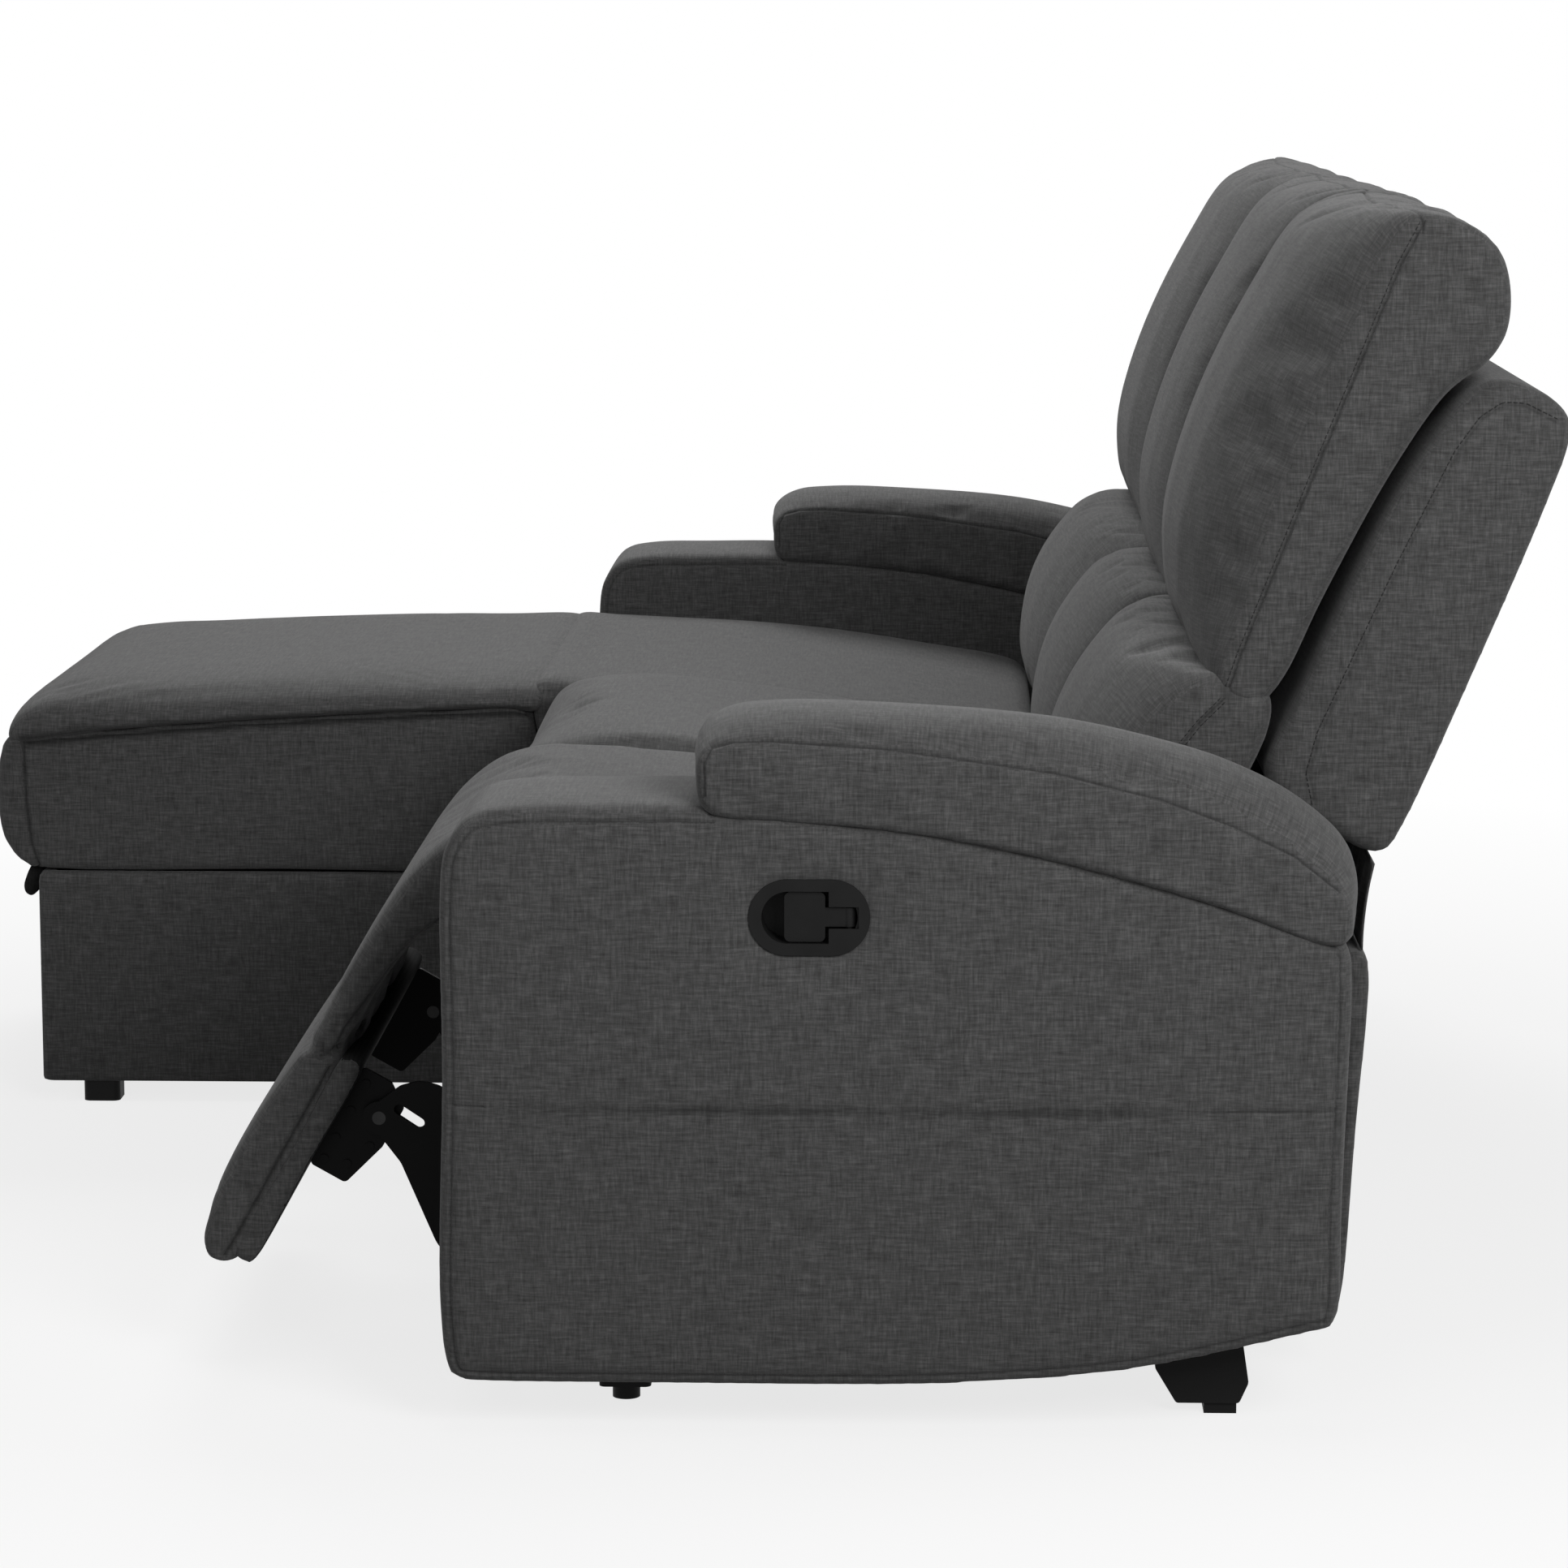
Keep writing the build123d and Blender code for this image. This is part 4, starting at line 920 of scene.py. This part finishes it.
lid_stations = stations(lid_far_end, lid_near_end)
lid = piece_of("lid_seat", stuffed(lid_outline, far_inner + 2, chaise_end + 5, lid_stations, 5))
even_mesh(lid, 7, 2)
fill(lid, 0.6, 3, lid_held, 0)
hinge = Vector((-0.54, front_y - 20 * MM, 0.44))
# Painted shade: a shallow line, strongly darkened, along the lid cushion's lower roll.
lid_lip = [(-588, 406), (-500, 416), (-341, 429), (-120, 441), (-30, 442)]
seams = [Seam(side, lid_lip, 0.8, 4, dark=0.85) for side in both_ends]
dress(
    lid, lid_outline, seams, None, ["lid_cushion"],
    ("sofa_frame", "chaise_lid", hinge + Vector((0, 0.004, 0)), hinge + Vector((0, -0.045, 0))),
)

border_outline = [
    (-30, 262, 0, 0), (-26, 268, 0, 0), (-26, 436, 0, 0), (-34, 444, 0, 0), (-120, 442, 0, 0),
    (-341, 430, 0, 0), (-500, 417, 0, 0), (-570, 411, -8, 0), (-588, 406, -18, 0), (-591, 390, -24, 0),
    (-592, 335, -28, 0), (-590, 290, -22, 0), (-581, 266, -9, 0), (-570, 261, 0, 0), (-300, 260, 0, 0),
]
border_end = ((0, 0.55, 7), (0.003, 0.7, 3), (0.01, 0.85, 0.8), (0.03, 0.97, 0), (0.1, 1, 0))
border_stations = stations(border_end, border_end)
border = piece_of("lid_box", stuffed(border_outline, far_inner + 2, chaise_end - 2, border_stations, 4))
even_mesh(border, 6, 2)
corner_welt = [(-586, 404), (-585, 340), (-580, 290), (-572, 264)]
seams = [Seam(side, corner_welt, 3.2, 2.6, 1.2) for side in both_ends]
# Painted shade: this groove is darkened strongly and widely to stand in for the shadow the lid cushion casts
# on its box.
box_groove = [(-580, 402), (-500, 410), (-341, 423), (-120, 435), (-28, 437)]
seams += [Seam(side, box_groove, 6, 8, 0.2, dark=0.95) for side in both_ends]
dress(border, border_outline, seams, "chaise_lid", ["lid_border", "lid_core", "lid_board"])
border.data.materials.append(lining_black)
for face in border.data.polygons:
    face.material_index = int(face.normal.z < -0.9 and face.center.z < 0.265)


# Chaise bin: covered outside, lined inside
def plan_ring(x_low, x_high, front, rear, inset, corner, height):
    """A level rectangle with round corners."""
    ring = []
    for x, depth, start in (
        (x_high - inset - corner, rear - inset - corner, 0),
        (x_low + inset + corner, rear - inset - corner, 90),
        (x_low + inset + corner, front + inset + corner, 180),
        (x_high - inset - corner, front + inset + corner, 270),
    ):
        for step in range(5):
            turn = math.radians(start + 22.5 * step)
            ring.append(place(x + corner * math.cos(turn), depth + corner * math.sin(turn), height))
    return ring


def limits(node):
    """The lowest and highest corner of a node, in millimetres of the sofa."""
    return [measured(np.array(corner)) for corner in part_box(node)]


low, high = limits("chaise_bin")
wall = 16
inner_rear = -14
bin_rings = []
for inset, height in (
    (9, 23), (3, 23.3), (0.8, 24.6), (0, 28), (0, 92), (0, 146), (0, 200), (0, 246), (1, 253), (4, 257),
    (8, 258),
):
    bin_rings.append(plan_ring(low[0] - 1, high[0] + 1, low[1] - 6, high[1], inset, 10, height))
for inset, height in ((-4, 258), (-1, 256), (0, 251), (0, 60), (1, 56), (4, 54)):
    bin_rings.append(plan_ring(low[0] + wall, high[0] - wall, low[1] + wall, inner_rear, inset, 6, height))
chest = piece_of("chaise_chest", skin(bin_rings), charcoal)
chest.data.materials.append(lining_black)
for face in chest.data.polygons:
    spot = measured(np.array(face.center))
    inside = low[0] + 12 < spot[0] < high[0] - 12 and low[1] + 12 < spot[1] < inner_rear + 4 and spot[2] > 50
    face.material_index = int(inside)
weave_map(chest, None)
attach(chest, "sofa_frame")
rail_rings = []
for inset, height in ((1, 200), (0, 204), (0, 292), (1, 296), (4, 297.6)):
    ring = plan_ring(low[0] + wall, high[0] - wall, inner_rear, inner_rear + wall, inset, 3, height)
    rail_rings.append(ring)
divider_rail = piece_of("chest_rear_rail", skin(rail_rings), lining_black)
weave_map(divider_rail, None)
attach(divider_rail, "sofa_frame")
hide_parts("chaise_bin")

# Cheeks between the chest and the seat base, covered like the chest
for name, x_low, x_high in (
    ("chest_near_cheek", high[0] - wall, high[0]), ("chest_far_cheek", low[0], low[0] + wall),
):
    cheek_rings = []
    for inset, height in ((3, 240), (0, 244), (0, 270), (0, 293), (0.8, 296), (3, 297.4)):
        cheek_rings.append(plan_ring(x_low, x_high, -19, 34, inset, 4, height))
    cheek = piece_of(name, skin(cheek_rings), charcoal)
    weave_map(cheek, None)
    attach(cheek, "sofa_frame")


# Panels behind and before the seat bases
def slab_line(front, rear, low, high, swell_front):
    """A slab's outline with soft corners, and how far its front swells."""
    middle, soft = (low + high) / 2, 5
    return [
        (front + soft, low, 0, 0), (front, low + soft, 0, 0), (front, middle, -swell_front, 0),
        (front, high - soft, 0, 0), (front + soft, high, 0, 0), (rear - soft, high, 0, 0),
        (rear, high - soft, 0, 0), (rear, middle, 0, 0), (rear, low + soft, 0, 0), (rear - soft, low, 0, 0),
    ]


panel_end = ((0, 0, 5), (0.006, 0.2, 1.5), (0.02, 0.5, 0), (0.08, 0.85, 0))
panel_stations = stations(panel_end, panel_end)
overlap = 3
near_low, near_high = limits("near_rear_panel")
fixed_high = limits("fixed_rear_panels")[1]
for name, node, x_low, x_high, top in (
    ("near_rear_cover", "near_rear_panel", middle_end - overlap, near_inner + 12, near_high[2]),
    ("middle_rear_cover", "fixed_rear_panels", chaise_end - overlap, middle_end + overlap, fixed_high[2]),
    ("chaise_rear_cover", "fixed_rear_panels", far_inner - 24, chaise_end + overlap, fixed_high[2]),
):
    line = slab_line(near_low[1], near_high[1] - 1, near_low[2], top, 0)
    line[0], line[1] = (near_low[1] - 7, near_low[2], 0, 0), (near_low[1] - 12, near_low[2] + 5, 0, 0)
    line[7] = (near_high[1] - 9, (near_low[2] + top) / 2, 0, 0)
    line[8] = (near_high[1] - 21, near_low[2] + 5, 0, 0)
    line[9] = (near_high[1] - 25, near_low[2], 0, 0)
    panel = piece_of(name, stuffed(line, x_low, x_high, panel_stations, 4))
    even_mesh(panel, 6, 2)
    hem = Seam("rear", [(x_low + 14, top - 14), (x_high - 14, top - 14)], 1.6, 2.0, 0.2)
    dress(panel, line, [hem], "sofa_frame", [node])
low, high = limits("middle_front_panel")
line = slab_line(low[1], high[1], low[2], high[2], 4)
panel = piece_of("middle_front_cover", stuffed(line, low[0], high[0], panel_stations, 4))
even_mesh(panel, 5, 2)
dress(panel, line, [], "sofa_frame", ["middle_front_panel"])

# Footrest board, wrapped in the cover. It leans forward from the fold.
fold_depth, fold_height = -10, 440
lean_sine, lean_cosine = 0.4909, 0.8712


def on_footrest(down, out):
    """Depth and height of a point, measured down the footrest from its fold and out of its front."""
    depth = fold_depth - lean_sine * down - lean_cosine * out
    height = fold_height - lean_cosine * down + lean_sine * out
    return depth, height


board_line = []
for down, out in (
    (185, -13), (284, -13.5), (387, -13), (390, -10), (390, 3), (387, 6.6), (284, 6.6), (185, 6.6), (182, 3),
    (182, -10),
):
    board_line.append((*on_footrest(down, out), 0, 0))
low, high = limits("footrest_board")
wrapped = piece_of("wrapped_board", stuffed(board_line, low[0], high[0], panel_stations, 5))
even_mesh(wrapped, 4, 1)
dress(wrapped, board_line, [], "footrest", ["footrest_board"])
wrapped.data.materials.append(lining_black)
behind, above = Vector((0, lean_cosine, -lean_sine)), Vector((0, lean_sine, lean_cosine))
for face in wrapped.data.polygons:
    hidden = face.normal @ behind > 0.6 or face.normal @ above > 0.3
    face.material_index = int(hidden and abs(face.normal.x) < 0.35)

# Skirt behind the recliner: a strip of cloth from the rear panel to the back's shell
low, high = limits("rear_skirt")
shape = bmesh.new()
bmesh.ops.create_grid(shape, x_segments=108, y_segments=14, size=0.5)
for corner in shape.verts:
    across, up = corner.co.x + 0.5, corner.co.y + 0.5
    waves = 2.2 * math.sin(across * 61) + 1.6 * math.sin(across * 23 + 1.3) + 1.2 * math.sin(across * 103)
    ripple = math.sin(math.pi * up) * waves
    x, height = low[0] + across * (high[0] - low[0]), low[2] + up * (high[2] - low[2])
    corner.co = place(x, low[1] + 10 + 9 * up + ripple, height)
bmesh.ops.recalc_face_normals(shape, faces=shape.faces)
skirt = piece_of("recliner_skirt", shape, charcoal)
thick = skirt.modifiers.new("cloth", "SOLIDIFY")
thick.thickness, thick.offset = 0.0016, 0
settle(skirt)
weave_map(skirt, None)
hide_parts("rear_skirt")
skirt_foot, skirt_head = place(610, low[1] + 10, low[2] + 2), place(610, low[1] + 10, high[2] - 2)
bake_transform(skirt)

# Pull tab: a strap folded back on itself
low, high = limits("lid_pull_tab")
tab_line = [
    (-571, 262, 0, 0), (-574, 252, 0, 0), (-577, 240, 0, 0), (-580, 231, 0, 0), (-586, 227, 0, 0),
    (-592, 230, 0, 0), (-594, 238, 0, 0), (-591, 249, 0, 0), (-587, 258, 0, 0), (-583, 264, 0, 0),
    (-577, 265, 0, 0),
]
tab_stations = ((0, 0, 1.4), (0.01, 0, 0.4), (0.03, 0, 0), (0.97, 0, 0), (0.99, 0, 0.4), (1, 0, 1.4))
tab = piece_of("pull_strap", stuffed(tab_line, low[0], high[0], tab_stations, 4), strap_black)
weave_map(tab, None)
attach(tab, "chaise_lid")
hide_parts("lid_pull_tab")

# Floor and light
shape = bmesh.new()
bmesh.ops.create_circle(shape, cap_ends=True, segments=96, radius=14)
floor = piece_of("floor", shape)
material, root = finish_of("pale_floor")
here = root.add("TexCoord", None, None, 3)
distance = root.add("VectorMath", {"operation": "LENGTH"}, {0: here}, 1)
fade = {"Value": distance, "From Min": 1.2, "From Max": 2.6, "To Min": 0.78, "To Max": 1.0}
spread = root.add("MapRange", None, fade)
seen = root.add("LightPath")
glossy = root.add("LightPath", None, None, 3)
shown = root.add("Math", {"operation": "MAXIMUM"}, {0: seen, 1: glossy})
pale = root.add("Mix", {"data_type": "RGBA"}, {"Factor": seen, 6: grey(0.3), 7: grey(0.88)}, 2)
matte = root.add("BsdfPrincipled", None, {"Base Color": pale, "Roughness": 0.95, "Specular IOR Level": 0.1})
bright = root.add("Emission", None, {"Color": grey(1.0), "Strength": 1.0})
mixed = root.add("MixShader", None, {0: shown * spread, 1: matte, 2: bright})
root.add("OutputMaterial", None, {"Surface": mixed})
floor.data.materials.append(material)

world = bpy.data.worlds.new("studio")
bpy.context.scene.world = world
world.use_nodes = True
world.node_tree.nodes.clear()
root = Socket(world.node_tree)
seen = root.add("LightPath")
through = root.add("LightPath", None, None, 3)
away = root.add("Math", {"operation": "MAXIMUM"}, {0: seen, 1: through})
dim = root.add("Background", None, {"Color": grey(1.0), "Strength": 0.01})
bright = root.add("Background", None, {"Color": grey(1.0), "Strength": 1.0})
mixed = root.add("MixShader", None, {0: away, 1: dim, 2: bright})
root.add("OutputWorld", None, {"Surface": mixed})


def softbox(name, spot, aim, wide, tall, power):
    """A soft studio lamp, aimed at a point."""
    light = bpy.data.lights.new(name, "AREA")
    light.shape, light.size, light.size_y, light.energy = "RECTANGLE", wide, tall, power
    lamp = bpy.data.objects.new(name, light)
    lamp.location = spot
    lamp.rotation_euler = (Vector(aim) - Vector(spot)).to_track_quat("-Z", "Y").to_euler()
    bpy.context.scene.collection.objects.link(lamp)


softbox("side_box", (3.0, 1.4, 1.7), (0.7, 0.3, 0.5), 1.2, 1.2, 51)
softbox("near_box", (3.4, -0.7, 1.7), (0.2, 0.1, 0.5), 1.6, 1.6, 14)
softbox("far_box", (-2.6, -0.2, 2.4), (-0.2, 0.0, 0.5), 1.4, 1.4, 57)
softbox("top_box", (0.8, 0.1, 3.0), (0.6, 0.1, 0.4), 1.2, 2.0, 13)
softbox("front_box", (0.2, -3.2, 1.8), (0.2, 0.0, 0.5), 2.0, 1.6, 15)
softbox("rear_box", (-0.4, 3.6, 1.8), (-0.2, 0.5, 0.5), 2.0, 1.6, 22)
